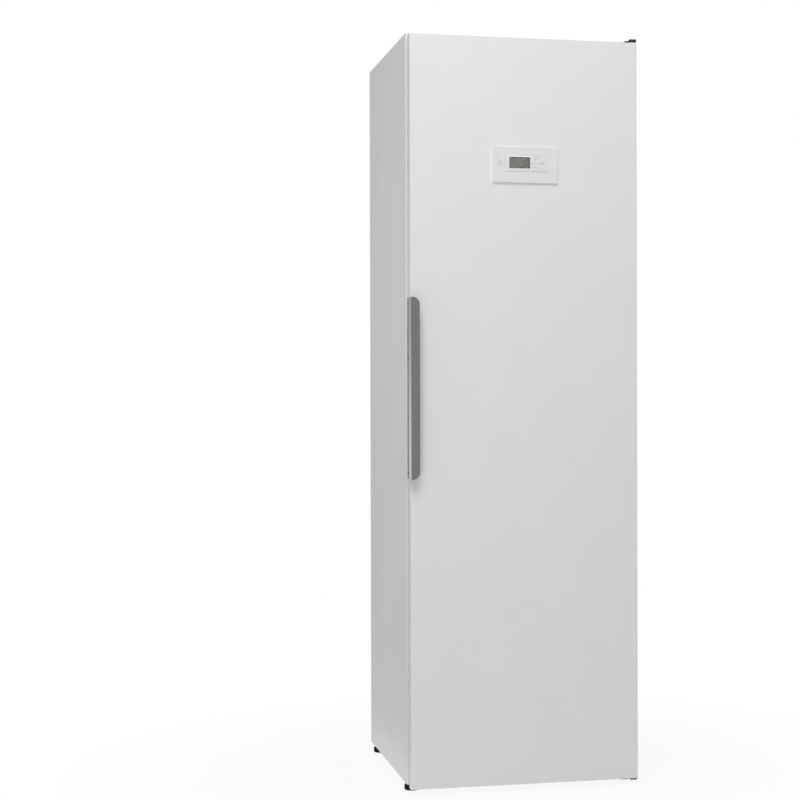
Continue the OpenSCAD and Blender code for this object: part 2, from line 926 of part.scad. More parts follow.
// Condensate tray under the coils, with its outlet at the right
module condensate_tray() {
  x0 = air_x - coil_w / 2 - 8;
  x1 = air_x + coil_w / 2 + 8;
  y1 = condenser_y + coil_d + 6;
  y0 = evaporator_y - 6;
  color("gray")
    difference() {
      box([x0, y0, deck_z], [x1, y1, deck_z + tray_h - 2]);
      box([x0 + 2, y0 + 2, deck_z + 2], [x1 - 2, evaporator_y + 4, deck_z + tray_h]);
      box([x0 + 2, evaporator_y + coil_d - 4, deck_z + 2],
        [x1 - 2, condenser_y + 4, deck_z + tray_h]);
      box([x0 + 2, condenser_y + coil_d - 4, deck_z + 2], [x1 - 2, y1 - 2, deck_z + tray_h]);
    }
}

// Drain tube from the tray to the hose spigot in the connection niche
module drain_spigot() {
  x1 = air_x + coil_w / 2 + 8;
  y1 = condenser_y + coil_d - 6;
  z = deck_z + 6.5;
  niche_y = panel_y - niche_d;
  color("gray")
    difference() {
      union() {
        tube_path([[x1, y1, z], [x1 + 26, y1, z], [x1 + 26, y1, service_z],
             [x1 + 26, niche_y - 24, service_z], [spigot_x, niche_y - 24, service_z],
             [spigot_x, niche_y - 2, service_z]], drain_r);
        // flange against the niche's wall, collar through it, and the spigot with its eased end
        translate([spigot_x, niche_y - 3, service_z])
          bar_y(3, 14);
        translate([spigot_x, niche_y - 3, service_z])
          bar_y(3 + collar_l, collar_r);
        translate([spigot_x, niche_y - 3, service_z])
          bar_y(spigot_l + 3, spigot_r);
        translate([spigot_x, niche_y + spigot_l, service_z])
          rotate([-90, 0, 0])
            cylinder(r1 = spigot_r, r2 = spigot_r - 1.2, h = 3);
      }
      translate([spigot_x, niche_y - 1.5, service_z])
        bar_y(niche_d, spigot_r - 2.5);
    }
}

// ---------------------------------------------------------------- fan

// Outline of the volute in four quarter arcs that grow by a step each, with its outlet downwards
module scroll_outline(grow) {
  s = scroll_step / 2;
  base = wheel_r + scroll_step + grow;
  // each quarter: its centre, its radius and the quadrant that it fills
  quarters = [[[s, s], base, [-1, -1]], [[s, -s], base + scroll_step, [-1, 1]],
        [[-s, -s], base + 2 * scroll_step, [1, 1]], [[-s, s], base + 3 * scroll_step, [1, -1]]];
  for (q = quarters)
    translate(q[0])
      intersection() {
        circle(r = q[1]);
        translate([q[2][0] < 0 ? -q[1] : 0, q[2][1] < 0 ? -q[1] : 0])
          square(q[1]);
      }
  square([4 * s, 4 * s], center = true);
}

// Volute housing with its inlet in front and its outlet down through the deck into the duct
module fan_housing() {
  drop = fan_z - deck_z;
  right = outlet_x - air_x;
  color("gray")
    difference() {
      translate([air_x, fan_y + scroll_w, fan_z])
        rotate([90, 0, 0])
          linear_extrude(scroll_w) {
            scroll_outline(0);
            translate([right - outlet_w - scroll_t, -drop])
              square([outlet_w + 2 * scroll_t, drop]);
          }
      translate([air_x, fan_y + scroll_w - scroll_t, fan_z])
        rotate([90, 0, 0])
          linear_extrude(scroll_w - 2 * scroll_t) {
            scroll_outline(-scroll_t);
            translate([right - outlet_w, -drop - 1])
              square([outlet_w, drop + 1]);
          }
      translate([air_x, fan_y - 1, fan_z])
        bar_y(scroll_t + 2, blade_r);
      translate([air_x, fan_y + scroll_w - scroll_t - 1, fan_z])
        bar_y(scroll_t + 2, 14);
    }
}

// Fan motor inside the wheel, its flange on the housing's rear wall
module fan_motor() {
  y1 = fan_y + scroll_w - scroll_t;
  color("dimgray")
    difference() {
      union() {
        translate([air_x, y1 - 3, fan_z])
          bar_y(3, 46);
        translate([air_x, y1 - 40, fan_z])
          bar_y(38, motor_r);
        translate([air_x, y1 - 1, fan_z])
          bar_y(6, 13.5);
      }
      translate([air_x, y1 - 50, fan_z])
        bar_y(49, shaft_r + run_fit);
    }
}

// Motor shaft, which carries the wheel
module fan_shaft() {
  y1 = fan_y + scroll_w - scroll_t;
  color("silver")
    translate([air_x, y1 - 55, fan_z])
      bar_y(53.5, shaft_r);
}

// Forward-curved wheel: cup over the motor, back ring, blades and front ring
module fan_wheel() {
  y1 = fan_y + scroll_w - scroll_t - 6;
  y0 = y1 - wheel_l;
  cup_r = motor_r + 5;
  chord = wheel_r - blade_r;
  curve_r = chord * 0.9;
  color("slategray")
    translate([air_x, y0, fan_z])
      rotate([-90, 0, 0])
        difference() {
          union() {
            // back ring with the cup's wall and crown
            translate([0, 0, wheel_l - 2])
              difference() {
                cylinder(r = wheel_r, h = 2);
                translate([0, 0, -1])
                  cylinder(r = 48, h = 4);
              }
            difference() {
              translate([0, 0, wheel_l - 44])
                cylinder(r1 = cup_r, r2 = 50, h = 44);
              translate([0, 0, wheel_l - 42])
                cylinder(r1 = cup_r - 2, r2 = 48, h = 44);
            }
            // hub
            translate([0, 0, wheel_l - 50])
              cylinder(r = 9, h = 8);
            // front ring
            difference() {
              cylinder(r = wheel_r, h = 2);
              translate([0, 0, -1])
                cylinder(r = wheel_r - 4, h = 4);
            }
            // blades, each an arc of the curve radius
            for (i = [0 : blade_count - 1])
              rotate([0, 0, i * 360 / blade_count])
                translate([blade_r + chord / 2, -curve_r * 0.8, 1])
                  intersection() {
                    difference() {
                      cylinder(r = curve_r + 0.6, h = wheel_l - 2);
                      translate([0, 0, -1])
                        cylinder(r = curve_r - 0.6, h = wheel_l);
                    }
                    translate([-chord / 2 + 0.5, 0, 0])
                      cube([chord - 1.5, 2 * curve_r, wheel_l]);
                  }
          }
          translate([0, 0, -1])
            cylinder(r = shaft_r, h = wheel_l);
        }
}

// ---------------------------------------------------------------- electrics and small parts

// Box of the power electronics with a folded lid and a terminal block
module control_unit() {
  x0 = 12 - half_w + sheet_t;
  y0 = body_front + 26;
  w = 150;
  d = 110;
  h = 70;
  color("lightgray")
    difference() {
      union() {
        box([x0, y0, deck_z], [x0 + w, y0 + d, deck_z + h]);
        box([x0 - 2, y0 - 2, deck_z + h - 12], [x0 + w + 2, y0 + d + 2, deck_z + h + 1.5]);
      }
      for (i = [0 : 6])
        box([x0 + 20 + i * 18, y0 + 20, deck_z + h], [x0 + 26 + i * 18, y0 + d - 20, deck_z + h + 3]);
    }
}

// Cable gland in the connection niche: flange, hexagon and clamping cap round the cable bore
module cable_gland() {
  niche_y = panel_y - niche_d;
  color("dimgray")
    difference() {
      union() {
        translate([gland_x, niche_y - 12, service_z])
          bar_y(niche_d - 16, 7.6);
        translate([gland_x, niche_y + liner_t, service_z])
          rotate([-90, 0, 0])
            cylinder(r = 13, h = 7, $fn = 6);
        translate([gland_x, niche_y - 6, service_z])
          rotate([-90, 0, 0])
            cylinder(r = 12, h = 6, $fn = 6);
        translate([gland_x, niche_y + liner_t + 8, service_z])
          bar_y(15, 11);
      }
      translate([gland_x, niche_y - 20, service_z])
        bar_y(niche_d + 20, 3.6);
    }
}

// Humidity and temperature sensor in its cage on the ceiling
module humidity_sensor() {
  color("white")
    translate([air_x - air_w / 2 - 50, air_y + air_l / 2, ceiling_z - 16])
      difference() {
        union() {
          cylinder(r = 8, h = 13);
          translate([0, 0, 13])
            cylinder(r = 13, h = 3);
        }
        for (a = [0, 60, 120])
          rotate(a)
            box([-9, -1, 3], [9, 1, 10]);
        translate([0, 0, -1])
          cylinder(r = 6, h = 12);
      }
}

// Lint filter: frame with cross bars, mesh and a finger grip in front
module lint_filter() {
  x0 = air_x - filter_w / 2;
  x1 = air_x + filter_w / 2;
  y1 = air_y + air_l + 12;
  z0 = ceiling_z - rail_drop + liner_t + seat_gap;
  color("white")
    difference() {
      union() {
        box([x0, air_y, z0], [x1, y1, z0 + filter_t]);
        box([air_x - 40, air_y - 12, z0], [air_x + 40, air_y + 1, z0 + 3]);
      }
      for (i = [0 : 2], j = [0 : 1])
        translate([x0 + 12 + i * (filter_w - 24) / 3, air_y + 12 + j * (air_l - 12) / 2, z0 + 1])
          cube([(filter_w - 24) / 3 - 4, (air_l - 12) / 2 - 4, filter_t]);
      for (i = [0 : 2], j = [0 : 1], k = [0 : 7])
        translate([x0 + 15 + i * (filter_w - 24) / 3 + k * 11, air_y + 16 + j * (air_l - 12) / 2, z0 - 1])
          cube([5, (air_l - 12) / 2 - 12, 4]);
    }
}

// ---------------------------------------------------------------- hinges and feet

// Top hinge bracket: a plate on the body's top, cranked down to an arm over the door
module top_hinge_bracket() {
  web_y = body_front - seat_gap - bracket_t;
  neck = arm_right + 2;
  tip = 18.5;
  color("black")
    difference() {
      union() {
        translate([0, 0, body_h])
          linear_extrude(bracket_t)
            polygon([[pin_x - neck, web_y], [pin_x + arm_right, web_y],
                [pin_x + arm_right, body_front + 16], [half_w - 0.5, body_front + 20],
                [half_w - 0.5, body_front + 60], [pin_x - 22, body_front + 60],
                [pin_x - 22, body_front + 20], [pin_x - neck, body_front + 12]]);
        box([pin_x - neck, web_y, top_arm_z], [pin_x + arm_right, web_y + bracket_t, body_h + 1]);
        translate([pin_x, pin_y, top_arm_z])
          linear_extrude(arm_t)
            polygon([[-7, -8], [arm_right - 2, -8], [arm_right, -6],
                [arm_right, web_y + 1 - pin_y], [-neck, web_y + 1 - pin_y], [-neck, 6],
                [-tip, 2], [-tip, -2], [-neck, -4.5]]);
        translate([pin_x, pin_y, top_arm_z + arm_t])
          hinge_crown(tip);
      }
      translate([pin_x, pin_y, top_arm_z - 1])
        cylinder(r = pin_r, h = arm_t + 0.5);
      for (p = top_bracket_screws())
        translate([p[0], p[1], body_h - 1])
          cylinder(r = 2.6, h = bracket_t + 2);
    }
}

// Three teeth over the pin, for a spanner, and a sloping rib beside them
module hinge_crown(tip) {
  tooth_h = 5.7;
  slot_w = 2.6;
  half_tooth = 1.35;
  x1 = half_tooth + slot_w;
  translate([0, 4, 0])
    rotate([90, 0, 0])
      linear_extrude(12)
        for (side = [[[-7, -0.5], [-x1, -0.5], [-x1, tooth_h], [-6.2, tooth_h], [-7, tooth_h - 1]],
              [[-half_tooth, -0.5], [half_tooth, -0.5], [half_tooth, tooth_h], [-half_tooth, tooth_h]],
              [[x1, -0.5], [arm_right, -0.5], [arm_right, tooth_h - 2], [arm_right - 1.5, tooth_h],
                [x1, tooth_h]]])
          polygon(side);
  translate([0, 2, 0])
    rotate([90, 0, 0])
      linear_extrude(4)
        polygon([[-tip, -0.5], [-6.5, -0.5], [-6.5, 2.6], [-tip, 0.3]]);
}

// Places of the top bracket's screws, as [x, y]
function top_bracket_screws() =
  [[pin_x - 14, body_front + 28], [pin_x + 4, body_front + 28], [pin_x - 5, body_front + 48]];

// Places of the bottom bracket's screws, as [x, y]
function bottom_bracket_screws() =
  [[pin_x - 42, body_front + 20], [pin_x - 42, front_foot_y + 20]];

// Bottom hinge bracket: a plate under the body with a crank down to the door's lower edge
module bottom_hinge_bracket() {
  x0 = pin_x - arm_right - 3.5;
  x1 = pin_x + arm_right + 1;
  low = low_arm_z;
  foot_y1 = front_foot_y + 30;
  color("black")
    difference() {
      union() {
        translate([0, 0, floor_gap - bracket_t])
          linear_extrude(bracket_t)
            polygon([[pin_x - 52, body_front + 2], [x0, body_front - 3], [x1, body_front - 3],
                [half_w - 0.5, body_front + 2], [half_w - 0.5, foot_y1], [pin_x - 52, foot_y1]]);
        box([x0, body_front - 3, low], [x1, body_front, floor_gap]);
        translate([0, 0, low])
          linear_extrude(arm_t)
            polygon([[x0, body_front], [x0, pin_y - 3], [x0 + 4, pin_y - 6.5],
                [x1 - 2.5, pin_y - 6.5], [x1, pin_y - 4], [x1, body_front]]);
        // lugs beside the pin's nut, the left one with a sloping edge
        translate([pin_x, pin_y + 4, low])
          rotate([90, 0, 0])
            linear_extrude(8)
              polygon([[-lug_gap - lug_w - 1.4, 0.5], [-lug_gap, 0.5], [-lug_gap, -lug_h],
                  [-lug_gap - 2, -lug_h]]);
        box([pin_x + lug_gap, pin_y - 4, low - lug_h], [pin_x + lug_gap + lug_w, pin_y + 4, low + 0.5]);
      }
      translate([pin_x, pin_y, low - 1])
        cylinder(r = pin_r, h = arm_t + 2);
      translate([foot_x, front_foot_y, floor_gap - bracket_t - 1])
        cylinder(r = stud_r + 1, h = bracket_t + 2);
      for (p = bottom_bracket_screws())
        translate([p[0], p[1], floor_gap - bracket_t - 1])
          cylinder(r = 2.6, h = bracket_t + 2);
    }
}

// Hinge pins: the lower one with a hexagon end between its bracket's lugs, the upper one plain
module hinge_pins() {
  color("silver") {
    translate([pin_x, pin_y, low_arm_z - 4.7])
      cylinder(r = lug_gap - 0.3, h = 4.7, $fn = 6);
    translate([pin_x, pin_y, low_arm_z])
      cylinder(r = pin_r, h = bush_l + arm_t);
    translate([pin_x, pin_y, door_top - bush_l + 3])
      cylinder(r = pin_r, h = bush_l - 3 + arm_gap + arm_t - 0.6);
  }
}

// Zinc-plated screws of both hinge brackets
module hinge_screws() {
  color("silver") {
    for (p = top_bracket_screws())
      translate([p[0], p[1], body_h + bracket_t])
        bracket_screw();
    for (p = bottom_bracket_screws())
      translate([p[0], p[1], floor_gap - bracket_t])
        mirror([0, 0, 1])
          bracket_screw();
    // locking screw in the lower bracket's right lug
    translate([pin_x + lug_gap + lug_w, pin_y, low_arm_z - lug_h / 2])
      bar_x(3.4, 1.5);
  }
}

// Screw of a hinge bracket: head with a hexagon socket, shank through the plate
module bracket_screw() {
  difference() {
    union() {
      cylinder(r = 4.2, h = 3.2);
      translate([0, 0, -bracket_t])
        cylinder(r = 2.3, h = bracket_t + 0.5);
    }
    translate([0, 0, 1])
      cylinder(r = 2, h = 3, $fn = 6);
  }
}

// Levelling foot: round base with an eased lower edge, hexagon collar and stud
module foot(x, y) {
  ease = 2;
  base_h = 13;
  color("black")
    translate([x, y, 0]) {
      rotate_extrude()
        union() {
          translate([0, ease])
            square([foot_r, base_h - ease]);
          square([foot_r - ease, base_h]);
          translate([foot_r - ease, ease])
            circle(r = ease);
        }
      translate([0, 0, base_h])
        cylinder(r1 = foot_r - 3, r2 = 12, h = 2);
      translate([0, 0, base_h + 2])
        cylinder(r = 10, h = 2.5, $fn = 6);
      translate([0, 0, base_h + 4])
        cylinder(r = stud_r, h = boss_top - base_h - 5);
    }
}

module foot_front_left() {
  foot(-foot_x, front_foot_y);
}

module foot_front_right() {
  foot(foot_x, front_foot_y);
}

module foot_rear_left() {
  foot(-foot_x, rear_foot_y);
}

module foot_rear_right() {
  foot(foot_x, rear_foot_y);
}

// ---------------------------------------------------------------- door

// Folded door skin: front, four sides and narrow return lips at the back
module door_front_panel() {
  color("white")
    difference() {
      translate([0, 0, door_z])
        linear_extrude(door_h)
          door_outline(0);
      translate([0, 0, door_z + sheet_t])
        linear_extrude(door_h - 2 * sheet_t)
          difference() {
            door_outline(sheet_t);
            translate([-half_w, door_back - sheet_t])
              square([body_w, sheet_t * 2]);
          }
      box([door_lip - door_x, door_back - 2 * sheet_t, door_z + door_lip],
        [door_x - door_lip, door_back + 1, door_top - door_lip]);
      // holes for the hinge bushes
      translate([pin_x, pin_y, door_z - 1])
        cylinder(r = bush_r, h = sheet_t + 2);
      translate([pin_x, pin_y, door_top - sheet_t - 1])
        cylinder(r = bush_r, h = sheet_t + 2);
      // window for the display module and hole for the power key
      box([module_x - module_w / 2 + 2, door_front - 1, module_z + 2],
        [module_x + module_w / 2 - 2, door_front + sheet_t + 1, module_z + module_h - 2]);
      translate([power_x, door_front - 1, power_z])
        bar_y(sheet_t + 2, power_key_d / 2 + 1);
    }
}

// Door outline from above, drawn in by a margin
module door_outline(margin) {
  r = door_corner_r - margin;
  x = door_x - margin;
  y0 = door_front + margin;
  translate([-x + r, y0])
    square([2 * (x - r), r + 1]);
  translate([-x, y0 + r])
    square([2 * x, door_back - y0 - r]);
  for (sx = [-1, 1])
    translate([sx * (x - r), y0 + r])
      circle(r = r);
}

// Flat inner panel with a raised field that faces the chamber
module door_inner_panel() {
  x = door_x - door_lip;
  field_x = chamber_x - 14;
  z0 = chamber_z + 14;
  z1 = ceiling_z - 14;
  raise = 6;
  color("white")
    difference() {
      union() {
        box([-x, door_back - inner_t, door_z + door_lip],
          [x, door_back, door_top - door_lip]);
        translate([0, door_back - inner_t, (z0 + z1) / 2])
          front_plate(2 * field_x, z1 - z0, inner_t + raise, 20);
      }
      translate([0, door_back - inner_t - 1, (z0 + z1) / 2])
        front_plate(2 * (field_x - inner_t), z1 - z0 - 2 * inner_t, raise + 1, 20 - inner_t);
    }
}

// Foam core of the door, cut out for the controls and the hinge bushes
module door_core() {
  x = door_x - sheet_t;
  y0 = door_front + sheet_t;
  y1 = door_back - inner_t;
  cut = bush_r + 4;
  color("khaki")
    difference() {
      box([-x, y0, door_z + sheet_t], [x, y1, door_top - sheet_t]);
      // clear of the skin's round corners and of the lips
      for (sx = [-1, 1])
        translate([sx * x, 0, 0])
          box([-2, y0 - 1, 0], [2, y0 + 2, body_h]);
      box([pin_x - cut, y0 - 1, door_z], [x + 1, y1 + 1, door_z + bush_l + 8]);
      box([pin_x - cut, y0 - 1, door_top - bush_l - 8], [x + 1, y1 + 1, door_top]);
      box([power_x - 12, y0 - 1, plate_z + 8],
        [module_x + module_w / 2 + 8, board_y + board_t + spacer_l, plate_z + plate_h - 8]);
    }
}

// Magnetic door gasket: base strip, narrow neck and magnet head, as one closed ring
module door_gasket() {
  x = door_x - gasket_inset;
  z1 = door_top - gasket_inset;
  y = door_back;
  head = door_gap - 4.3;
  color("gray") {
    gasket_frame(x, gasket_bottom, z1, gasket_w, y, 2);
    gasket_frame(x - 4, gasket_bottom + 4, z1 - 4, gasket_w - 8, y + 2, 2);
    gasket_frame(x - 1, gasket_bottom + 1, z1 - 1, gasket_w - 2, y + 4, head);
  }
}

// Rectangular ring that faces the body
module gasket_frame(x, z0, z1, w, y, t) {
  difference() {
    box([-x, y, z0], [x, y + t, z1]);
    box([w - x, y - 1, z0 + w], [x - w, y + t + 1, z1 - w]);
  }
}

// Plastic hinge bushes: a sleeve in the door with a flange outside
module door_bushes() {
  color("white") {
    difference() {
      union() {
        translate([pin_x, pin_y, door_top - bush_l])
          cylinder(r = bush_r, h = bush_l + arm_gap - seat_gap);
        box([pin_x - 8, pin_y - 8, door_top], [pin_x + 8, pin_y + 8, top_arm_z - seat_gap]);
      }
      translate([pin_x, pin_y, door_top - bush_l - 1])
        cylinder(r = pin_r + run_fit, h = bush_l + arm_gap + 2);
    }
    difference() {
      union() {
        translate([pin_x, pin_y, door_z])
          cylinder(r = bush_r, h = bush_l);
        translate([pin_x, pin_y, door_z - low_gap + seat_gap])
          cylinder(r = bush_r + 2, h = low_gap - seat_gap);
      }
      translate([pin_x, pin_y, door_z - 2])
        cylinder(r = pin_r + run_fit, h = bush_l + 4);
    }
  }
}

// Places of the handle's screws above its lower end
function handle_screw_heights() =
  [handle_screw_end, handle_l / 3, handle_l * 2 / 3, handle_l - handle_screw_end];

// Angled handle: side leg on the door's edge, round bend, front leg with cut corners
module door_handle() {
  x = -door_x - handle_t;
  y = door_front - handle_proud;
  r = handle_t + 0.3;
  cut_w = 11;
  cut_h = 9;
  color("gray")
    difference() {
      translate([x, y, handle_z])
        linear_extrude(handle_l) {
          bend(r, handle_t);
          translate([r, 0])
            square([handle_w - r, handle_t]);
          translate([0, r])
            square([handle_t, handle_proud + handle_grip_w - r]);
        }
      // cut corners at the front leg's free edge
      for (end = [0, 1])
        translate([x + handle_w, y - 1, handle_z + end * handle_l])
          mirror([0, 0, end])
            rotate([-90, 0, 0])
              linear_extrude(handle_t + 2)
                polygon([[-cut_w, 1], [-cut_w, 0], [0, -cut_h], [1, -cut_h], [1, 1]]);
      for (z = handle_screw_heights())
        translate([x - 1, door_front + handle_grip_w / 2, handle_z + z])
          bar_x(handle_t + 2, 2.3);
    }
}

// Screws through the handle's side leg into the door's edge
module handle_screws() {
  x = -door_x - handle_t;
  color("silver")
    for (z = handle_screw_heights())
      translate([x, door_front + handle_grip_w / 2, handle_z + z])
        difference() {
          union() {
            translate([-0.8, 0, 0])
              bar_x(0.8, 3);
            bar_x(handle_t, 2.2);
          }
          translate([-2, 0, 0])
            rotate([0, 90, 0])
              cylinder(r = 1.8, h = 2, $fn = 6);
        }
}

// ---------------------------------------------------------------- controls

// Control plate: thin raised plate with a pocket for the display module and a key hole
module control_plate() {
  color("white")
    difference() {
      translate([0, door_front - plate_t, plate_z + plate_h / 2])
        front_plate(plate_w, plate_h, plate_t, 3);
      // shallow open back, leaving a rim
      translate([0, door_front - plate_t + 2, plate_z + plate_h / 2])
        front_plate(plate_w - 6, plate_h - 6, plate_t, 2);
      translate([module_x, door_front - plate_t - 1, module_z + module_h / 2])
        front_plate(module_w + 2 * key_fit, module_h + 2 * key_fit, plate_t + 2, 2);
      translate([power_x, door_front - plate_t - 1, power_z])
        bar_y(plate_t + 2, power_key_d / 2 + key_fit);
    }
}

// Display module: raised moulding with the window's recess and the key openings
module display_module() {
  y0 = door_front - plate_t - module_t;
  color("white")
    difference() {
      union() {
        translate([module_x, y0, module_z + module_h / 2])
          front_plate(module_w, module_h, 6, 2);
        box([module_x - module_w / 2 + 3, y0 + 5, module_z + 3],
          [module_x + module_w / 2 - 3, y0 + module_depth, module_z + module_h - 3]);
      }
      // window seat, with a ledge behind the window
      translate([window_x, y0 - 1, module_z + module_h / 2 + 1])
        front_plate(window_w, window_h, 1 + 1.5, 1);
      translate([window_x, y0 - 1, module_z + module_h / 2 + 1])
        front_plate(window_w - 4, window_h - 4, module_depth + 2, 1);
      // openings of the up, down and start keys
      box([key_col_x - key_col_w / 2 - key_fit, y0 - 1, module_z + 2 - key_fit],
        [key_col_x + key_col_w / 2 + key_fit, y0 + module_depth + 1,
        module_z + module_h / 2 - 0.5 + key_fit]);
      box([key_col_x - key_col_w / 2 - key_fit, y0 - 1, module_z + module_h / 2 + 0.5 - key_fit],
        [key_col_x + key_col_w / 2 + key_fit, y0 + module_depth + 1,
        module_z + module_h - 2 + key_fit]);
      box([start_x() - start_w / 2 + 2 - key_fit, y0 - 1, module_z + 2 - key_fit],
        [start_x() + start_w / 2 - 2 + key_fit, y0 + module_depth + 1,
        module_z + module_h - 2 + key_fit]);
    }
}

// Middle of the start key
function start_x() = key_col_x + key_col_w / 2 + start_w / 2;

// Clear window over the display
module display_window() {
  y0 = door_front - plate_t - module_t;
  color("dimgray")
    translate([window_x, y0 + 0.2, module_z + module_h / 2 + 1])
      front_plate(window_w - 0.4, window_h - 0.4, 1.3, 0.8);
}

// Circuit board behind the plate, with the display, a switch behind each key and the board's posts
module control_board() {
  x0 = power_x - 9;
  x1 = module_x + module_w / 2 + 4;
  y0 = door_front - plate_t - module_t;
  switch_y = y0 + module_depth - 1 + key_travel + 0.4;
  color("seagreen") {
    box([x0, board_y, plate_z + 14], [x1, board_y + board_t, plate_z + plate_h - 12]);
    // display block behind the window
    box([window_x - window_w / 2 + 3, y0 + 3, module_z + module_h / 2 - window_h / 2 + 4],
      [window_x + window_w / 2 - 3, board_y, module_z + module_h / 2 + window_h / 2 - 2]);
    for (p = [[key_col_x, module_z + module_h * 0.26], [key_col_x, module_z + module_h * 0.74],
         [start_x(), module_z + module_h / 2], [power_x, power_z]])
      box([p[0] - 3, switch_y, p[1] - 3], [p[0] + 3, board_y, p[1] + 3]);
    // spacers that carry the board on the foam's pocket
    for (x = [x0 + 5, x1 - 5], z = [plate_z + 20, plate_z + plate_h - 18])
      translate([x, board_y + board_t, z])
        bar_y(spacer_l, 2.5);
  }
}

// Rectangular key between two corners in X and Z, with a shallow finger dish
module box_key(x0, x1, z0, z1) {
  y0 = door_front - plate_t - module_t;
  difference() {
    box([x0, y0 - key_proud, z0], [x1, y0 + module_depth - 1, z1]);
    translate([(x0 + x1) / 2, y0 - key_proud + dish_d - dish_r, (z0 + z1) / 2])
      sphere(r = dish_r, $fn = 96);
  }
}

module key_up() {
  color("white")
    box_key(key_col_x - key_col_w / 2, key_col_x + key_col_w / 2,
        module_z + module_h / 2 + 0.5, module_z + module_h - 2);
}

module key_down() {
  color("white")
    box_key(key_col_x - key_col_w / 2, key_col_x + key_col_w / 2,
        module_z + 2, module_z + module_h / 2 - 0.5);
}

module key_start() {
  color("white")
    box_key(start_x() - start_w / 2 + 2, start_x() + start_w / 2 - 2,
        module_z + 2, module_z + module_h - 2);
}

module key_power() {
  color("white")
    translate([power_x, door_front - plate_t - key_proud, power_z])
      difference() {
        bar_y(module_depth - 1 - module_t + key_proud, power_key_d / 2);
        translate([0, dish_d - dish_r, 0])
          sphere(r = dish_r, $fn = 96);
      }
}

// ---------------------------------------------------------------- glove rack

// Wire rack for gloves on the door's inside: two rails on stand-offs with straight pegs
module glove_rack() {
  y0 = door_back + 6;
  rail_l = 400;
  peg_l = 60;
  stand = 12;
  peg_pitch = 76;
  color("white")
    for (z = [rack_z[1] + rack_drop * 0.45, rack_z[2] + rack_drop * 0.45]) {
      translate([-rail_l / 2, y0 + stand + rod_r, z])
        bar_x(rail_l, rod_r);
      for (sx = [-1, 1])
        translate([sx * (rail_l / 2 - 15), y0, z])
          bar_y(stand, rod_r + 2);
      for (i = [-2.5 : 1 : 2.5])
        translate([i * peg_pitch, y0 + stand + rod_r, z + 2 * rod_r])
          rotate([20, 0, 0])
            bar_y(peg_l, rod_r);
    }
}

left_side_panel();
right_side_panel();
top_panel();
base_tray();
rear_panel();
front_rails();
chamber_liner();
chamber_back_wall();
chamber_floor();
chamber_ceiling();
wall_insulation();
machine_deck();
service_panel();
panel_screws();
top_rack();
middle_rack();
lower_rack();
rack_brackets();
shoe_grid();
compressor();
compressor_mounts();
evaporator_coil();
condenser_coil();
refrigerant_pipes();
filter_drier();
air_tunnel();
condensate_tray();
drain_spigot();
fan_housing();
fan_motor();
fan_shaft();
fan_wheel();
control_unit();
cable_gland();
humidity_sensor();
lint_filter();
top_hinge_bracket();
bottom_hinge_bracket();
hinge_pins();
hinge_screws();
foot_front_left();
foot_front_right();
foot_rear_left();
foot_rear_right();
door_front_panel();
door_inner_panel();
door_core();
door_gasket();
door_bushes();
door_handle();
handle_screws();
control_plate();
display_module();
display_window();
control_board();
key_power();
key_up();
key_down();
key_start();
glove_rack();
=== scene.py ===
# %% [markdown]
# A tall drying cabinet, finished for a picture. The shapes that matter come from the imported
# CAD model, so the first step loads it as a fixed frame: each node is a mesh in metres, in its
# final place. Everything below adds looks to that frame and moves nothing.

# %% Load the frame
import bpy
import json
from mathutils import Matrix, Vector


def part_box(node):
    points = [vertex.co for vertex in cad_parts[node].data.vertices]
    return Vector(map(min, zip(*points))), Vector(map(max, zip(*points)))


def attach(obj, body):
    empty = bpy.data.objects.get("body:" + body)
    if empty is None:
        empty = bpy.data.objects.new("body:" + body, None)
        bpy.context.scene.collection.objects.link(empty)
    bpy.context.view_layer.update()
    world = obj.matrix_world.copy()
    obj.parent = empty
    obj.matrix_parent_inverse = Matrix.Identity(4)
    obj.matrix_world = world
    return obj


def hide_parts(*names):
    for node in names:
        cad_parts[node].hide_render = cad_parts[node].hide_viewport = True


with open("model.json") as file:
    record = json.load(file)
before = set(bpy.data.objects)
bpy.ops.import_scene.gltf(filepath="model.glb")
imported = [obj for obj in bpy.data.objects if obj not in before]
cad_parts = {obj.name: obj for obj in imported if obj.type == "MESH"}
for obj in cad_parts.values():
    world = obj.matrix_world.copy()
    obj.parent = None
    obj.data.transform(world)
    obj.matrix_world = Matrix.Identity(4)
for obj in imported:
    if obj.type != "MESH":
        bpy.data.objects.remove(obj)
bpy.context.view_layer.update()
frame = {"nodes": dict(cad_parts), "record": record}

import json
import math

import bpy
from mathutils import Matrix, Vector

NODES = frame["nodes"]

# %% [markdown]
# The camera comes first, because it fixes what is seen. It stands about 4.4 m
# in front of the door, a little to the left and at half the cabinet's height,
# and is nearly level. A long lens keeps the uprights parallel. The cabinet sits
# right of the picture's middle, so the lens is shifted sideways, as with a
# technical camera, and the camera itself isn't turned away.

# %% Camera
EYE = Vector((-1.0825, -4.696, 1.0018))
YAW, PITCH, ROLL = (math.radians(a) for a in (13.127, -0.272, -0.131))
LENS_MM, SENSOR_MM, SIDE_SHIFT, FAR_CLIP = 81.29, 36, -0.13, 60

look = Vector((math.sin(YAW) * math.cos(PITCH),
               math.cos(YAW) * math.cos(PITCH), math.sin(PITCH)))
level = Vector((math.cos(YAW), -math.sin(YAW), 0))
above = level.cross(look)
side = level * math.cos(ROLL) + above * math.sin(ROLL)
above = above * math.cos(ROLL) - level * math.sin(ROLL)
axes = Matrix((side, above, -look)).transposed().to_4x4()

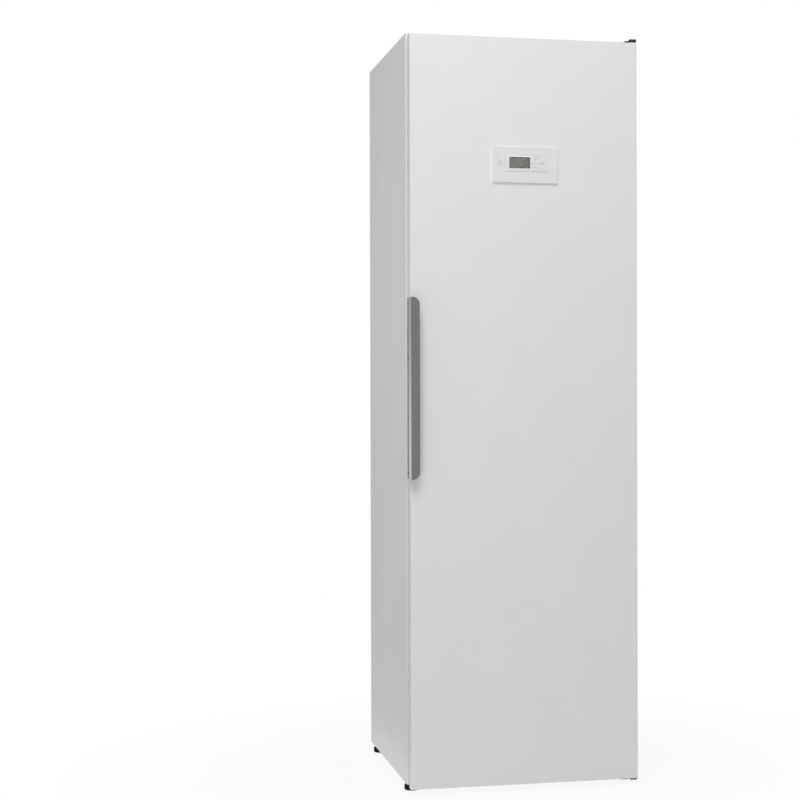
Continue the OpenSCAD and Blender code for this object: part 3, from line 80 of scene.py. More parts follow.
eye_data = bpy.data.cameras.new("photo_camera")
eye_data.lens = LENS_MM
eye_data.sensor_width = SENSOR_MM
eye_data.shift_x = SIDE_SHIFT
eye_data.clip_end = FAR_CLIP
eye = bpy.data.objects.new("photo_camera", eye_data)
eye.matrix_world = Matrix.Translation(EYE) @ axes
bpy.context.scene.collection.objects.link(eye)
bpy.context.scene.camera = eye
print("camera at", [round(v, 3) for v in EYE], "lens", LENS_MM)

# %% [markdown]
# Each material is a small tree of shader nodes. Written by hand, a tree takes
# many lines, so two helpers do the wiring. The first one, Wire, wraps a socket
# that gives a number. Python's +, - and * on it add the Math nodes.

# %% Shader maths in Python
class Wire:
    """One number in a shader tree."""

    def __init__(self, finish, socket):
        self.finish, self.socket = finish, socket

    def math(self, operation, first, second):
        made = self.finish.node("ShaderNodeMath", {"operation": operation},
                                {0: first, 1: second})
        return Wire(self.finish, made.outputs[0])

    def __add__(self, other):
        return self.math("ADD", self, other)

    def __sub__(self, other):
        return self.math("SUBTRACT", self, other)

    def __rsub__(self, other):
        return self.math("SUBTRACT", other, self)

    def __mul__(self, other):
        return self.math("MULTIPLY", self, other)

    __radd__ = __add__
    __rmul__ = __mul__


# %% [markdown]
# The second helper, Finish, makes one material. Its node() adds any node: the
# settings go in first, then the values or links of the sockets. The short
# methods after it are the textures and mixes that this cabinet needs. What is
# the same all over a surface is a constant on the shader's own socket.

# %% One material, and the textures it is made of
SOCKETS = {"roughness": "Roughness", "metallic": "Metallic", "ior": "IOR",
           "specular": "Specular IOR Level", "coat_weight": "Coat Weight",
           "coat_roughness": "Coat Roughness",
           "transmission": "Transmission Weight"}


class Finish:
    """A material on the Principled shader. Constants go straight on its sockets."""

    def __init__(self, name, **constants):
        self.name = name
        self.material = bpy.data.materials.new(name + "_finish")
        self.material.use_nodes = True
        self.tree = self.material.node_tree
        self.shader = self.tree.nodes["Principled BSDF"]
        for socket, value in constants.items():
            self.shader.inputs[SOCKETS[socket]].default_value = value

    def node(self, kind, settings=None, inputs=None):
        made = self.tree.nodes.new(kind)
        for key, value in (settings or {}).items():
            setattr(made, key, value)
        for key, value in (inputs or {}).items():
            self.plug(made.inputs[key], value)
        return made

    def plug(self, socket, value):
        if isinstance(value, Wire):
            value = value.socket
        if isinstance(value, bpy.types.NodeSocket):
            self.tree.links.new(value, socket)
        else:
            socket.default_value = value

    def paint(self, socket, value):
        self.plug(self.shader.inputs[socket], value)

    def place(self, stretch=(1, 1, 1), turn=(0, 0, 0)):
        where = self.node("ShaderNodeTexCoord").outputs["Object"]
        mapping = {"Vector": where, "Scale": stretch, "Rotation": turn}
        return self.node("ShaderNodeMapping", None, mapping).outputs[0]

    def noise(self, scale, detail=2.0, where=None, rough=0.5):
        inputs = {"Vector": where or self.place(), "Scale": scale,
                  "Detail": detail, "Roughness": rough}
        return Wire(self, self.node("ShaderNodeTexNoise", None, inputs).outputs[0])

    def cells(self, scale, where=None, output="Distance"):
        inputs = {"Vector": where or self.place(), "Scale": scale}
        made = self.node("ShaderNodeTexVoronoi", {"feature": "F1"}, inputs)
        return Wire(self, made.outputs[output])

    def spread(self, wire, low, high, to_low=0.0, to_high=1.0):
        """Turns the range low to high into another one, and stops at its ends."""
        inputs = {"Value": wire, "From Min": low, "From Max": high,
                  "To Min": to_low, "To Max": to_high}
        return Wire(self, self.node("ShaderNodeMapRange", {"clamp": True}, inputs).outputs[0])

    def part(self, axis, where=None):
        """One coordinate of a place or a direction: 0, 1 or 2 for x, y or z."""
        split = self.node("ShaderNodeSeparateXYZ", None, {0: where or self.place()})
        return Wire(self, split.outputs[axis])

    def facing(self, axis):
        """How far the surface faces along the piece's own axis, which turns with it."""
        return self.part(axis, self.node("ShaderNodeTexCoord").outputs["Normal"])

    def mix(self, share, first, second):
        def colour(value):
            return (*value, 1) if isinstance(value, tuple) else value
        inputs = {0: share, 6: colour(first), 7: colour(second)}
        return self.node("ShaderNodeMix", {"data_type": "RGBA"}, inputs).outputs[2]

    def bump(self, height, distance):
        inputs = {"Height": height, "Distance": distance, "Strength": 1.0}
        self.paint("Normal", self.node("ShaderNodeBump", None, inputs).outputs[0])

    def ready(self):
        FINISHES[self.name] = self.material
        print("finish", self.name, "with", len(self.tree.nodes), "nodes")
        return self.material


FINISHES = {}


# %% [markdown]
# Powder coat is paint that is blown on dry and melted in an oven. It flows into
# a skin with a faint orange peel, about 2 mm from hill to hill, that only shows
# where a lamp glances off it. The coat outside has a deeper peel than the one in
# the chamber, so one recipe makes them all, each with its own numbers.

# %% White painted sheet and wire
def powder_coat(name, colour, roughness, peel_scale, peel_depth, tint=0.012):
    coat = Finish(name, roughness=roughness, specular=0.4)
    wear = coat.noise(7, 3)
    smear = coat.noise(1, 4, coat.place((22, 22, 3)))
    darker = tuple(c * (1 - tint) for c in colour)
    coat.paint("Base Color", coat.mix(coat.spread(wear, 0.35, 0.65), colour, darker))
    coat.paint("Roughness", roughness + 0.10 * (smear - 0.5) + 0.05 * (wear - 0.5))
    peel = coat.noise(peel_scale, 1.5) + 0.35 * coat.noise(peel_scale * 3.1, 1)
    coat.bump(peel, peel_depth)
    coat.ready()


powder_coat("white_powder_coat", (0.815, 0.815, 0.808), 0.42, 420, 0.00008)
powder_coat("white_liner", (0.83, 0.83, 0.82), 0.32, 300, 0.00005, tint=0.02)
powder_coat("door_liner", (0.82, 0.82, 0.80), 0.38, 900, 0.00006, tint=0.015)
powder_coat("white_wire", (0.84, 0.84, 0.83), 0.30, 260, 0.00008, tint=0.03)

# %% [markdown]
# Galvanised sheet is steel that was dipped in molten zinc. The zinc freezes in
# crystals about a centimetre across, each with its own tilt, so each catches
# light in its own way. A Voronoi texture gives the crystals, and a noise pulls
# their edges ragged. The random colour of each cell holds separate numbers: one
# sets the tilt and the roughness of a crystal, and another one its grey.

# %% Galvanised sheet
zinc = Finish("galvanised_sheet", metallic=0.9, roughness=0.4)
PULL = 0.006
ragged = zinc.node("ShaderNodeTexNoise", None,
                   {"Vector": zinc.place(), "Scale": 160, "Detail": 2.0})
pulled = zinc.node("ShaderNodeVectorMath", {"operation": "MULTIPLY_ADD"},
                   {0: ragged.outputs["Color"], 1: (PULL, PULL, PULL), 2: zinc.place()})
crystal = zinc.cells(95, where=pulled.outputs[0], output="Color")
tilt, grey = (zinc.part(axis, crystal.socket) for axis in (0, 1))
feather = zinc.noise(1, 3, zinc.place((330, 330, 90)))
zinc.paint("Base Color", zinc.mix(grey * 0.6 + feather * 0.4,
                                  (0.50, 0.51, 0.525), (0.62, 0.63, 0.645)))
zinc.paint("Roughness", 0.30 + 0.14 * tilt + 0.06 * feather)
zinc.bump(tilt + 0.15 * feather, 0.00001)
zinc.ready()

# %% [markdown]
# Moulded plastic copies the etched surface of its mould: a very fine, even
# grain. Its faces that look up gather a little dust. One recipe covers the
# plastics, the rubber, the gasket and the printed marks, from the coarse grain
# of the rubber mounts to the fine one of the marks.

# %% Moulded plastics and rubber
def moulded(name, colour, roughness, grain_scale, grain_depth, dust=0.06, specular=0.5):
    skin = Finish(name, roughness=roughness, specular=specular)
    patch = skin.noise(18, 4)
    settled = skin.spread(skin.facing(2), 0.2, 0.9, 0, dust) * skin.spread(patch, 0.3, 0.7)
    grey = tuple(0.5 * c + 0.22 for c in colour)
    lighter = tuple(min(1, c * 1.06 + 0.004) for c in colour)
    toned = skin.mix(skin.spread(patch, 0.35, 0.65), colour, lighter)
    skin.paint("Base Color", skin.mix(settled, toned, grey))
    grain = skin.noise(grain_scale, 2, rough=0.6)
    skin.paint("Roughness", roughness + 0.12 * (grain - 0.5) + 0.4 * settled)
    skin.bump(grain, grain_depth)
    skin.ready()


moulded("grey_plastic", (0.155, 0.16, 0.165), 0.5, 1500, 0.00006)
moulded("pale_plastic", (0.66, 0.67, 0.67), 0.45, 1500, 0.00005, dust=0.03)
moulded("fan_plastic", (0.06, 0.065, 0.07), 0.42, 1200, 0.00005)
moulded("black_plastic", (0.004, 0.004, 0.004), 0.5, 1400, 0.00007,
         dust=0.03, specular=0.12)
moulded("black_rubber", (0.014, 0.014, 0.014), 0.75, 900, 0.00012,
         dust=0.12, specular=0.2)
moulded("gasket", (0.70, 0.705, 0.71), 0.62, 700, 0.00008,
         dust=0.04, specular=0.35)
# The display frame's near-white is partly a painted highlight for the bright line round the
# window.
moulded("frame_white", (0.95, 0.955, 0.95), 0.25, 2600, 0.00001, dust=0.0)
moulded("legend_grey", (0.36, 0.38, 0.365), 0.5, 2600, 0.00001, dust=0.0)

# %% [markdown]
# Stoved enamel is smooth and thick. The compressor's shell, the hinges and the
# motor wear it in black. Where metal edges rub, the paint thins, and the
# Geometry node's Pointiness finds those edges; dust settles on what faces up.

# %% Black enamels
BARE_METAL, DUST_COLOUR = (0.35, 0.34, 0.33), (0.3, 0.29, 0.27)


def enamel(name, colour, roughness, wear_share, dust, gloss=0.25, specular=0.5):
    coat = Finish(name, roughness=roughness, specular=specular,
                  coat_weight=gloss, coat_roughness=0.15)
    patch = coat.noise(40, 3)
    edge = Wire(coat, coat.node("ShaderNodeNewGeometry").outputs["Pointiness"])
    worn = coat.spread(edge, 0.53, 0.62) * coat.spread(patch, 0.45, 0.6) * wear_share
    fallen = coat.spread(coat.facing(2), 0.5, 1.0) * patch * dust
    lighter = tuple(1.3 * c + 0.002 for c in colour)
    toned = coat.mix(coat.spread(patch, 0.3, 0.7), colour, lighter)
    coat.paint("Base Color", coat.mix(fallen, coat.mix(worn, toned, BARE_METAL), DUST_COLOUR))
    coat.paint("Roughness", roughness + 0.15 * (patch - 0.5) + 0.3 * fallen)
    coat.bump(coat.noise(600, 1.5), 0.00005)
    coat.ready()


enamel("compressor_paint", (0.012, 0.012, 0.013), 0.3, wear_share=0.4, dust=0.3)
enamel("hinge_black", (0.003, 0.003, 0.003), 0.45, wear_share=0.12, dust=0.03,
       gloss=0.0, specular=0.15)
enamel("motor_dark", (0.045, 0.046, 0.05), 0.42, wear_share=0.3, dust=0.25)

# %% [markdown]
# Bare metals differ in colour and in the marks their making left. Drawn copper
# has lines down the tube and tarnishes in brown patches, rolled fins keep lines
# along the roll, and pins and screws have fine marks all over. One noise draws
# the marks: stretched along one axis it gives lines, and unstretched it gives
# specks.

# %% Metals
def bare_metal(name, colour, dull, roughness, stretch, patch_scale, depth):
    metal = Finish(name, metallic=1.0, roughness=roughness)
    line = metal.noise(1, 3, metal.place(stretch))
    patch = metal.noise(patch_scale, 4)
    metal.paint("Base Color", metal.mix(metal.spread(patch, 0.42, 0.72), colour, dull))
    tarnish = metal.spread(patch, 0.4, 0.75)
    metal.paint("Roughness", roughness + 0.16 * (line - 0.5) + 0.18 * tarnish)
    metal.bump(line, depth)
    metal.ready()


bare_metal("copper", (0.74, 0.40, 0.25), (0.36, 0.19, 0.12), 0.28,
           stretch=(900, 900, 60), patch_scale=35, depth=0.00003)
bare_metal("coil_fins", (0.74, 0.75, 0.77), (0.60, 0.61, 0.63), 0.34,
           stretch=(60, 1400, 30), patch_scale=25, depth=0.00003)
bare_metal("bright_steel", (0.66, 0.66, 0.64), (0.50, 0.49, 0.46), 0.26,
           stretch=(900, 900, 900), patch_scale=120, depth=0.00002)
bare_metal("dark_steel", (0.07, 0.07, 0.07), (0.03, 0.03, 0.03), 0.38,
           stretch=(700, 700, 700), patch_scale=150, depth=0.00002)

# %% [markdown]
# The handle is a satin anodised extrusion with fine lines down its length. The side leg, where
# it stands clear of the door, is painted lighter and made smoother, most of all in the lower
# half: a painted sheen for the light that this leg catches. The finish finds that zone by its
# place and the way it faces.

# %% Anodised handle
anodised = Finish("handle_grey", metallic=1.0, roughness=0.42)
spot = anodised.place()
line = anodised.noise(1, 3, anodised.place((1600, 1600, 9)))
patch = anodised.noise(9, 3)
sideways = anodised.spread(anodised.facing(0), -0.95, -0.8, 1, 0)
CLEAR_OF_DOOR, AT_DOOR = -0.2925, -0.2905
SHEEN_FULL_BELOW, SHEEN_FADED_ABOVE, SHEEN_HIGH_SHARE = 0.9, 1.16, 0.3
clear = anodised.spread(anodised.part(1, spot), CLEAR_OF_DOOR, AT_DOOR, 1, 0)
low_down = anodised.spread(anodised.part(2, spot), SHEEN_FULL_BELOW, SHEEN_FADED_ABOVE, 1.0, SHEEN_HIGH_SHARE)
# Painted sheen: the side leg, where it stands clear of the door, is painted lighter, most of
# all low down.
painted_sheen = low_down * sideways * clear
satin = anodised.mix(patch, (0.131, 0.134, 0.125), (0.139, 0.142, 0.133))
# The pale grey here is the painted sheen, not the handle's own colour.
anodised.paint("Base Color", anodised.mix(painted_sheen, satin, (0.44, 0.44, 0.435)))
streaks = 0.10 * (line - 0.5) + 0.05 * (patch - 0.5)
anodised.paint("Roughness", 0.42 + streaks - 0.12 * painted_sheen)
anodised.bump(line, 0.00002)
anodised.ready()

# %% [markdown]
# The controls are white mouldings with a thin satin film on their front faces, in a slightly
# grey tone. Every face that doesn't face the front, the bevels too, is painted near white: a
# painted highlight, so each edge reads as a bright line round it.

# %% Filmed controls
film = Finish("control_white", roughness=0.34, specular=0.5)
fronts = film.spread(film.facing(1), -0.995, -0.96, 1, 0)
cloud = film.noise(30, 2)
grain = film.noise(2600, 2)
greys = film.mix(cloud, (0.770, 0.790, 0.781), (0.786, 0.806, 0.797))
# Painted highlight: faces that don't face the front take the near-white colour.
film.paint("Base Color", film.mix(fronts, (0.95, 0.955, 0.945), greys))
film.paint("Roughness", 0.34 + 0.06 * (grain - 0.5) + 0.04 * (cloud - 0.5))
film.bump(grain, 0.000015)
film.ready()

# %% [markdown]
# Rigid foam fills the walls. Sprayed foam is a mass of tiny bubbles with a
# yellowish skin that darkens in patches. Small Voronoi cells make the bubbles,
# and a broad noise makes the lumps of the pour and the patches, so that it
# reads as foam and not as wax.

# %% Rigid foam
foam = Finish("rigid_foam", roughness=0.85, specular=0.2)
lump = foam.noise(28, 5)
bubble = foam.cells(650)
foam.paint("Base Color", foam.mix(foam.spread(lump, 0.3, 0.75),
                                  (0.74, 0.64, 0.38), (0.58, 0.46, 0.24)))
foam.paint("Roughness", 0.75 + 0.2 * bubble)
foam.bump(bubble + 1.5 * lump, 0.0005)
foam.ready()

# %% [markdown]
# The circuit board is green lacquer over copper tracks. The tracks stand a few
# hundredths of a millimetre proud, so a brick texture, with its mortar as the
# gaps between tracks, gives both the two greens and the bump. Small round
# solder pads come from Voronoi cells. The board lies behind the control plate,
# so it only shows when the door is taken apart.

# %% Circuit board
board = Finish("board_green", roughness=0.3, specular=0.5)
flat = board.place(turn=(math.pi / 2, 0, 0))
bricks = board.node("ShaderNodeTexBrick",
                    {"offset": 0.37, "squash": 0.6, "squash_frequency": 3},
                    {"Vector": flat, "Scale": 90, "Mortar Size": 0.06, "Mortar Smooth": 0.2})
gap = Wire(board, bricks.outputs["Fac"])
pads = board.spread(board.cells(210, where=flat), 0.10, 0.12, 1, 0)
green = board.mix(gap, (0.012, 0.13, 0.055), (0.008, 0.075, 0.035))
board.paint("Base Color", board.mix(pads, green, (0.62, 0.60, 0.55)))
board.paint("Roughness", 0.34 - 0.12 * pads + 0.1 * gap)
board.bump(1 - gap + pads, 0.00006)
board.ready()

# %% [markdown]
# The display is a liquid-crystal cell behind a clear window. Switched off, the cell is
# grey-green with a faint grid of dots, and its colour is painted darker towards its edges. The
# window itself is a thin polished pane, so it is nearly clear and only adds a reflection.

# %% Display cell and its window
HALF_PITCH, GAP_END, DOT_START = 0.0003, 0.00005, 0.0001
MIDDLE_X, MIDDLE_Z = -0.0145, 1.5745
SHADE_X, SHADE_Z = (0.022, 0.0262), (0.0105, 0.0135)
cell = Finish("display_cell", roughness=0.5, specular=0.3)
across = cell.part(0) - MIDDLE_X
upward = cell.part(2) - MIDDLE_Z
edge_x = cell.spread(across * across, *(reach ** 2 for reach in SHADE_X))
edge_z = cell.spread(upward * upward, *(reach ** 2 for reach in SHADE_Z))


def dot_lines(distance):
    """Runs to and fro along one axis: 0 in the gaps between the dots, 1 on them."""
    return cell.spread(distance.math("PINGPONG", distance, HALF_PITCH), GAP_END, DOT_START)


dots = dot_lines(across) * dot_lines(upward)
unlit = cell.mix(dots * 0.5, (0.158, 0.166, 0.143), (0.137, 0.144, 0.126))
rim = 1 - (1 - edge_x) * (1 - edge_z)
cell.paint("Base Color", cell.mix(rim * 0.6, unlit, (0.07, 0.085, 0.075)))
cell.paint("Roughness", 0.45 + 0.1 * dots)
cell.ready()

pane = Finish("display_glass", roughness=0.06, transmission=1.0, ior=1.49)
haze = pane.noise(60, 3)
pane.paint("Base Color", pane.mix(haze, (0.93, 0.95, 0.93), (0.97, 0.98, 0.97)))
pane.paint("Roughness", 0.03 + 0.05 * haze)
pane.ready()

# %% [markdown]
# The record says which finish each CAD node has. The frame's nodes come with a
# plain material each, so this loop puts the made one in its place. A node's
# mesh is left alone.

# %% Put the finishes on the CAD nodes
SLOT_OF = {part["node"]: part["material_slot"] for part in frame["record"]["subparts"]}
BODY_OF = {node: body for body, nodes in frame["record"]["behaviour"]["bodies"].items()
           for node in nodes}
for node, slot in SLOT_OF.items():
    NODES[node].data.materials.clear()
    NODES[node].data.materials.append(FINISHES[slot])
print(len(SLOT_OF), "nodes painted with", len(set(SLOT_OF.values())), "finishes")

# %% [markdown]
# The next helpers do what a modeller does at the keyboard: drop everything,
# take one piece, go into edit mode and out of it, and pick faces or edges.
# pick() marks those that pass a test on their place or their normal, so that
# the next operator acts on them.

# %% Take and pick
def drop_all():
    bpy.ops.object.select_all(action="DESELECT")


def take(piece):
    drop_all()
    piece.select_set(True)
    bpy.context.view_layer.objects.active = piece


def edit(on=True):
    """Into edit mode with the active piece, or out of it."""
    bpy.ops.object.mode_set(mode="EDIT" if on else "OBJECT")


def pick(kind, test):
    """Selects the faces or edges of the edited mesh that pass the test."""
    edit(False)
    mesh = bpy.context.object.data
    chosen = getattr(mesh, kind)
    for group in (mesh.polygons, mesh.edges, mesh.vertices):
        group.foreach_set("select", [False] * len(group))
    for element in chosen:
        spots = [mesh.vertices[i].co for i in element.vertices]
        element.select = bool(test(element, spots))
    edit()
    bpy.ops.mesh.select_mode(type="FACE" if kind == "polygons" else "EDGE")


# %% [markdown]
# Every new piece begins as a primitive at its own size and place, grows by
# extrusion, and ends in the same way: doubles merged, normals turned outward,
# smooth shading by angle, its finish, and the body that it rides on. A piece
# can stand for a CAD node, which is then hidden.

# %% Begin, push and finish a piece
def box_start(name, low, high):
    """A cube between two corners, placed and sized, in edit mode."""
    drop_all()
    low, high = Vector(low), Vector(high)
    bpy.ops.mesh.primitive_cube_add(size=1, location=(low + high) / 2)
    piece = bpy.context.object
    piece.name = name
    piece.scale = high - low
    bpy.ops.object.transform_apply(location=True, rotation=True, scale=True)
    edit()
    bpy.ops.mesh.select_all(action="SELECT")
    return piece


def push(x=0.0, y=0.0, z=0.0):
    """Extrudes what is picked by this much."""
    bpy.ops.mesh.extrude_region_move(TRANSFORM_OT_translate={"value": (x, y, z)})


SHARP = math.radians(35)
SAME_SPOT = 1e-6


def finish_piece(piece, body, slot, finish=None, hides=()):
    """Ends modelling: normals outward, smooth by angle, finish and body."""
    take(piece)
    edit()
    bpy.ops.mesh.select_all(action="SELECT")
    bpy.ops.mesh.remove_doubles(threshold=SAME_SPOT)
    bpy.ops.mesh.normals_make_consistent(inside=False)
    edit(False)
    bpy.ops.object.shade_smooth_by_angle(angle=SHARP)
    weighted = piece.modifiers.new("flat_faces_lead", "WEIGHTED_NORMAL")
    weighted.keep_sharp = True
    bpy.ops.object.modifier_apply(modifier=weighted.name)
    piece.data.materials.clear()
    piece.data.materials.append(FINISHES[finish or slot])
    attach(piece, body)
    if hides:
        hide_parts(*hides)
    print("piece", piece.name, "on", body, "with", len(piece.data.polygons), "faces")


# %% [markdown]
# No real edge is perfectly sharp. A fillet of a few tenths of a millimetre
# catches a thin line of light, and that line tells the eye how thick a sheet
# is. For nodes whose shape is right, a copy of the CAD mesh is welded, its flat
# faces are joined, and its sharp edges are bevelled. The copy stands for the
# node, which stays in the model for collision. Two nodes stay as they are: the
# window, whose edges lie hidden in its frame, and the shoe grid, whose legs
# touch its bars along a line, where joining flat faces would leave loose ones.

# %% Soften the edges of chosen nodes
NEARLY_FLAT = math.radians(0.4)
WELD = 2e-6


def soften(node, width):
    piece = bpy.data.objects.new(node + "_eased", NODES[node].data.copy())
    bpy.context.scene.collection.objects.link(piece)
    take(piece)
    edit()
    bpy.ops.mesh.select_all(action="SELECT")
    bpy.ops.mesh.remove_doubles(threshold=WELD)
    bpy.ops.mesh.dissolve_limited(angle_limit=NEARLY_FLAT)
    bpy.ops.mesh.select_all(action="DESELECT")
    bpy.ops.mesh.select_mode(type="EDGE")
    bpy.ops.mesh.edges_select_sharp(sharpness=SHARP)
    bpy.ops.mesh.bevel(offset=width, segments=2, clamp_overlap=True, harden_normals=False)
    edit(False)
    finish_piece(piece, BODY_OF[node], SLOT_OF[node], hides=(node,))


# %% [markdown]
# The fillets differ: thin sheet has a small one, moulded and foamed pieces have
# larger ones, and the wires of the racks are rounded off at their ends.

# %% The width of each node's fillet, in metres
EASED = [
    (0.0011, ["control_plate"]),
    (0.0003, ["display_module", "top_hinge_bracket", "bottom_hinge_bracket", "door_bushes",
              "hinge_screws", "hinge_pins", "key_power", "panel_screws", "fan_shaft"]),
    (0.00025, ["key_up", "key_down", "key_start", "handle_screws"]),
    (0.0005, ["rack_brackets", "lint_filter", "humidity_sensor", "drain_spigot",
              "cable_gland", "condensate_tray", "control_unit", "fan_housing", "fan_motor",
              "compressor_mounts"]),
    (0.0012, ["top_rack", "middle_rack", "lower_rack", "glove_rack"]),
    (0.0006, ["door_front_panel", "door_inner_panel"]),
    (0.0003, ["left_side_panel", "right_side_panel", "top_panel", "front_rails",
              "service_panel", "rear_panel", "base_tray", "machine_deck", "chamber_liner",
              "chamber_back_wall", "chamber_floor", "chamber_ceiling"]),
    (0.0015, ["compressor", "wall_insulation", "door_core"]),
    (0.0002, ["fan_wheel", "control_board", "air_tunnel", "evaporator_coil", "condenser_coil",
              "refrigerant_pipes", "filter_drier"]),
]
for width, nodes in EASED:
    for node in nodes:
        soften(node, width)
print(sum(len(nodes) for width, nodes in EASED), "nodes eased")

# %% [markdown]
# The handle is one angled extrusion: a side leg screwed to the door's edge, a
# round bend, and a front leg to pull on, with its free corners cut away. It
# starts as the flat front leg. A cut splits off the strip where the side leg
# joins, that strip is pulled back to the door, and the bend and corners are
# then bevelled in the order in which a workshop would make them.

# %% Handle
HANDLE_LOW, HANDLE_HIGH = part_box("door_handle")
LEG, BEND, ROUND, BROKEN_EDGE = 0.0025, 0.0012, 0.0045, 0.0004
CUT_WIDE, CUT_SLOPE, CORNERS_FROM = 0.011, (9, 11), 0.008
handle = box_start("pull_handle", HANDLE_LOW,
                   (HANDLE_HIGH.x, HANDLE_LOW.y + LEG, HANDLE_HIGH.z))
bpy.ops.mesh.bisect(plane_co=(HANDLE_LOW.x + LEG, 0, 0), plane_no=(1, 0, 0))
pick("polygons", lambda face, spots: face.normal.y > 0.9
     and face.center.x < HANDLE_LOW.x + LEG)
push(y=HANDLE_HIGH.y - HANDLE_LOW.y - LEG)


def upright_at(x, y):
    """A test for the edges that stand at this place in plan."""
    return lambda edge, spots: all(abs(s.x - x) < 1e-5 and abs(s.y - y) < 1e-5
                                   for s in spots)


pick("edges", upright_at(HANDLE_LOW.x, HANDLE_LOW.y))
bpy.ops.mesh.bevel(offset=BEND, segments=5, profile=0.5)
for end, sign in ((HANDLE_HIGH.z, 1), (HANDLE_LOW.z, -1)):
    bpy.ops.mesh.select_all(action="SELECT")
    bpy.ops.mesh.bisect(plane_co=(HANDLE_HIGH.x - CUT_WIDE, 0, end),
                        plane_no=(CUT_SLOPE[0], 0, CUT_SLOPE[1] * sign),
                        use_fill=True, clear_outer=True)
pick("edges", lambda edge, spots: abs(spots[0].y - spots[1].y) > 0.8 * LEG
     and spots[0].x > HANDLE_LOW.x + CORNERS_FROM)
bpy.ops.mesh.bevel(offset=ROUND, segments=6, profile=0.5)
bpy.ops.mesh.select_all(action="DESELECT")
bpy.ops.mesh.edges_select_sharp(sharpness=math.radians(40))
bpy.ops.mesh.bevel(offset=BROKEN_EDGE, segments=2, clamp_overlap=True)
edit(False)
finish_piece(handle, "door", "handle_grey", hides=("door_handle",))

# %% [markdown]
# The gasket is a soft extrusion welded into a frame: a base strip that snaps
# into the door, a neck with one fold that lets it give, and a head with a
# magnet that meets the body. Insetting a rectangle gives a frame with true
# mitres, each extrusion adds one layer, and pushing a layer's sides outward
# along their normals makes the fold and the head.

# %% Door gasket
SEAL_LOW, SEAL_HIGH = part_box("door_gasket")
BASE_WIDE, BASE_DEEP, NECK_INSET, SOFT_EDGE = 0.013, 0.002, 0.004, 0.0005
NECK_AND_HEAD = (0.0006, 0.0008, 0.0006, 0.0037)
# Each is where a layer begins and ends behind the door, and how far it goes out.
FOLD, HEAD = (0.0026, 0.0034, 0.0016), (0.0041, 0.0076, 0.003)
middle = (SEAL_LOW + SEAL_HIGH) / 2
drop_all()
bpy.ops.mesh.primitive_plane_add(size=1, location=(middle.x, SEAL_LOW.y, middle.z),
                                 rotation=(-math.pi / 2, 0, 0))
seal = bpy.context.object
seal.name = "door_seal"
seal.scale = (SEAL_HIGH.x - SEAL_LOW.x, SEAL_HIGH.z - SEAL_LOW.z, 1)
bpy.ops.object.transform_apply(location=True, rotation=True, scale=True)
edit()
bpy.ops.mesh.select_all(action="SELECT")
bpy.ops.mesh.inset(thickness=BASE_WIDE)
bpy.ops.mesh.delete(type="FACE")
bpy.ops.mesh.select_all(action="SELECT")
push(y=BASE_DEEP)


def layer_sides(low, high):
    """A test for the walls of one layer between two depths."""
    return lambda face, spots: (abs(face.normal.y) < 0.1
                                and low < face.center.y - SEAL_LOW.y < high)


pick("polygons", lambda face, spots: all(s.y > SEAL_LOW.y + 0.95 * BASE_DEEP for s in spots))
bpy.ops.mesh.inset(thickness=NECK_INSET)
for rise in NECK_AND_HEAD:
    push(y=rise)
for low, high, out in (FOLD, HEAD):
    pick("polygons", layer_sides(low, high))
    bpy.ops.mesh.extrude_region_shrink_fatten(
        TRANSFORM_OT_shrink_fatten={"value": out, "use_even_offset": True})
bpy.ops.mesh.select_all(action="DESELECT")
bpy.ops.mesh.edges_select_sharp(sharpness=math.radians(60))
bpy.ops.mesh.bevel(offset=SOFT_EDGE, segments=2, clamp_overlap=True)
edit(False)
finish_piece(seal, "door", "gasket", hides=("door_gasket",))

# %% [markdown]
# Behind the window lies the display cell, a box whose face is inset, pushed
# back for the step of the mask, and inset once more.

# %% Display cell
WINDOW_LOW, WINDOW_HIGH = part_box("display_window")
PLAY, NEAR_PANE, FAR_SIDE = 0.0002, 0.0001, 0.0008
MASK_WIDE, MASK_STEP, MASK_INNER = 0.0007, 0.00015, 0.0003
cell_low = (WINDOW_LOW.x + PLAY, WINDOW_HIGH.y + NEAR_PANE, WINDOW_LOW.z + PLAY)
cell_high = (WINDOW_HIGH.x - PLAY, WINDOW_HIGH.y + FAR_SIDE, WINDOW_HIGH.z - PLAY)
lcd = box_start("display_cell", cell_low, cell_high)
pick("polygons", lambda face, spots: face.normal.y < -0.9)
bpy.ops.mesh.inset(thickness=MASK_WIDE)
push(y=MASK_STEP)
bpy.ops.mesh.inset(thickness=MASK_INNER)
edit(False)
finish_piece(lcd, "door", "display_glass", "display_cell")

# %% [markdown]
# Round the window runs a moulded frame with sloping sides. Its near-white colour is partly a
# painted highlight for the bright line round the window. It starts as a box too. Its front and
# back faces are inset, the two inner faces are bridged into an opening, and a bevel on the
# front edges makes the slopes.

# %% Display frame
OVERLAP, PROUD, BACK, FRAME_WIDE, SLOPE = 0.0019, 0.0009, 0.0001, 0.0017, 0.0005
rim_low = (WINDOW_LOW.x - OVERLAP, WINDOW_LOW.y - PROUD, WINDOW_LOW.z - OVERLAP)
rim_high = (WINDOW_HIGH.x + OVERLAP, WINDOW_LOW.y - BACK, WINDOW_HIGH.z + OVERLAP)
surround = box_start("display_frame", rim_low, rim_high)
pick("polygons", lambda face, spots: abs(face.normal.y) > 0.9)
bpy.ops.mesh.inset(thickness=FRAME_WIDE)
bpy.ops.mesh.bridge_edge_loops()
pick("edges", lambda edge, spots: all(s.y < rim_low[1] + SAME_SPOT for s in spots))
bpy.ops.mesh.bevel(offset=SLOPE, segments=3, clamp_overlap=True)
edit(False)
finish_piece(surround, "door", "control_white", "frame_white")

# %% [markdown]
# The keys carry printed marks: a ring and bar for power, two triangles for up
# and down, a triangle with two bars for start and pause. They begin as flat
# outlines that face the front, round the origin.

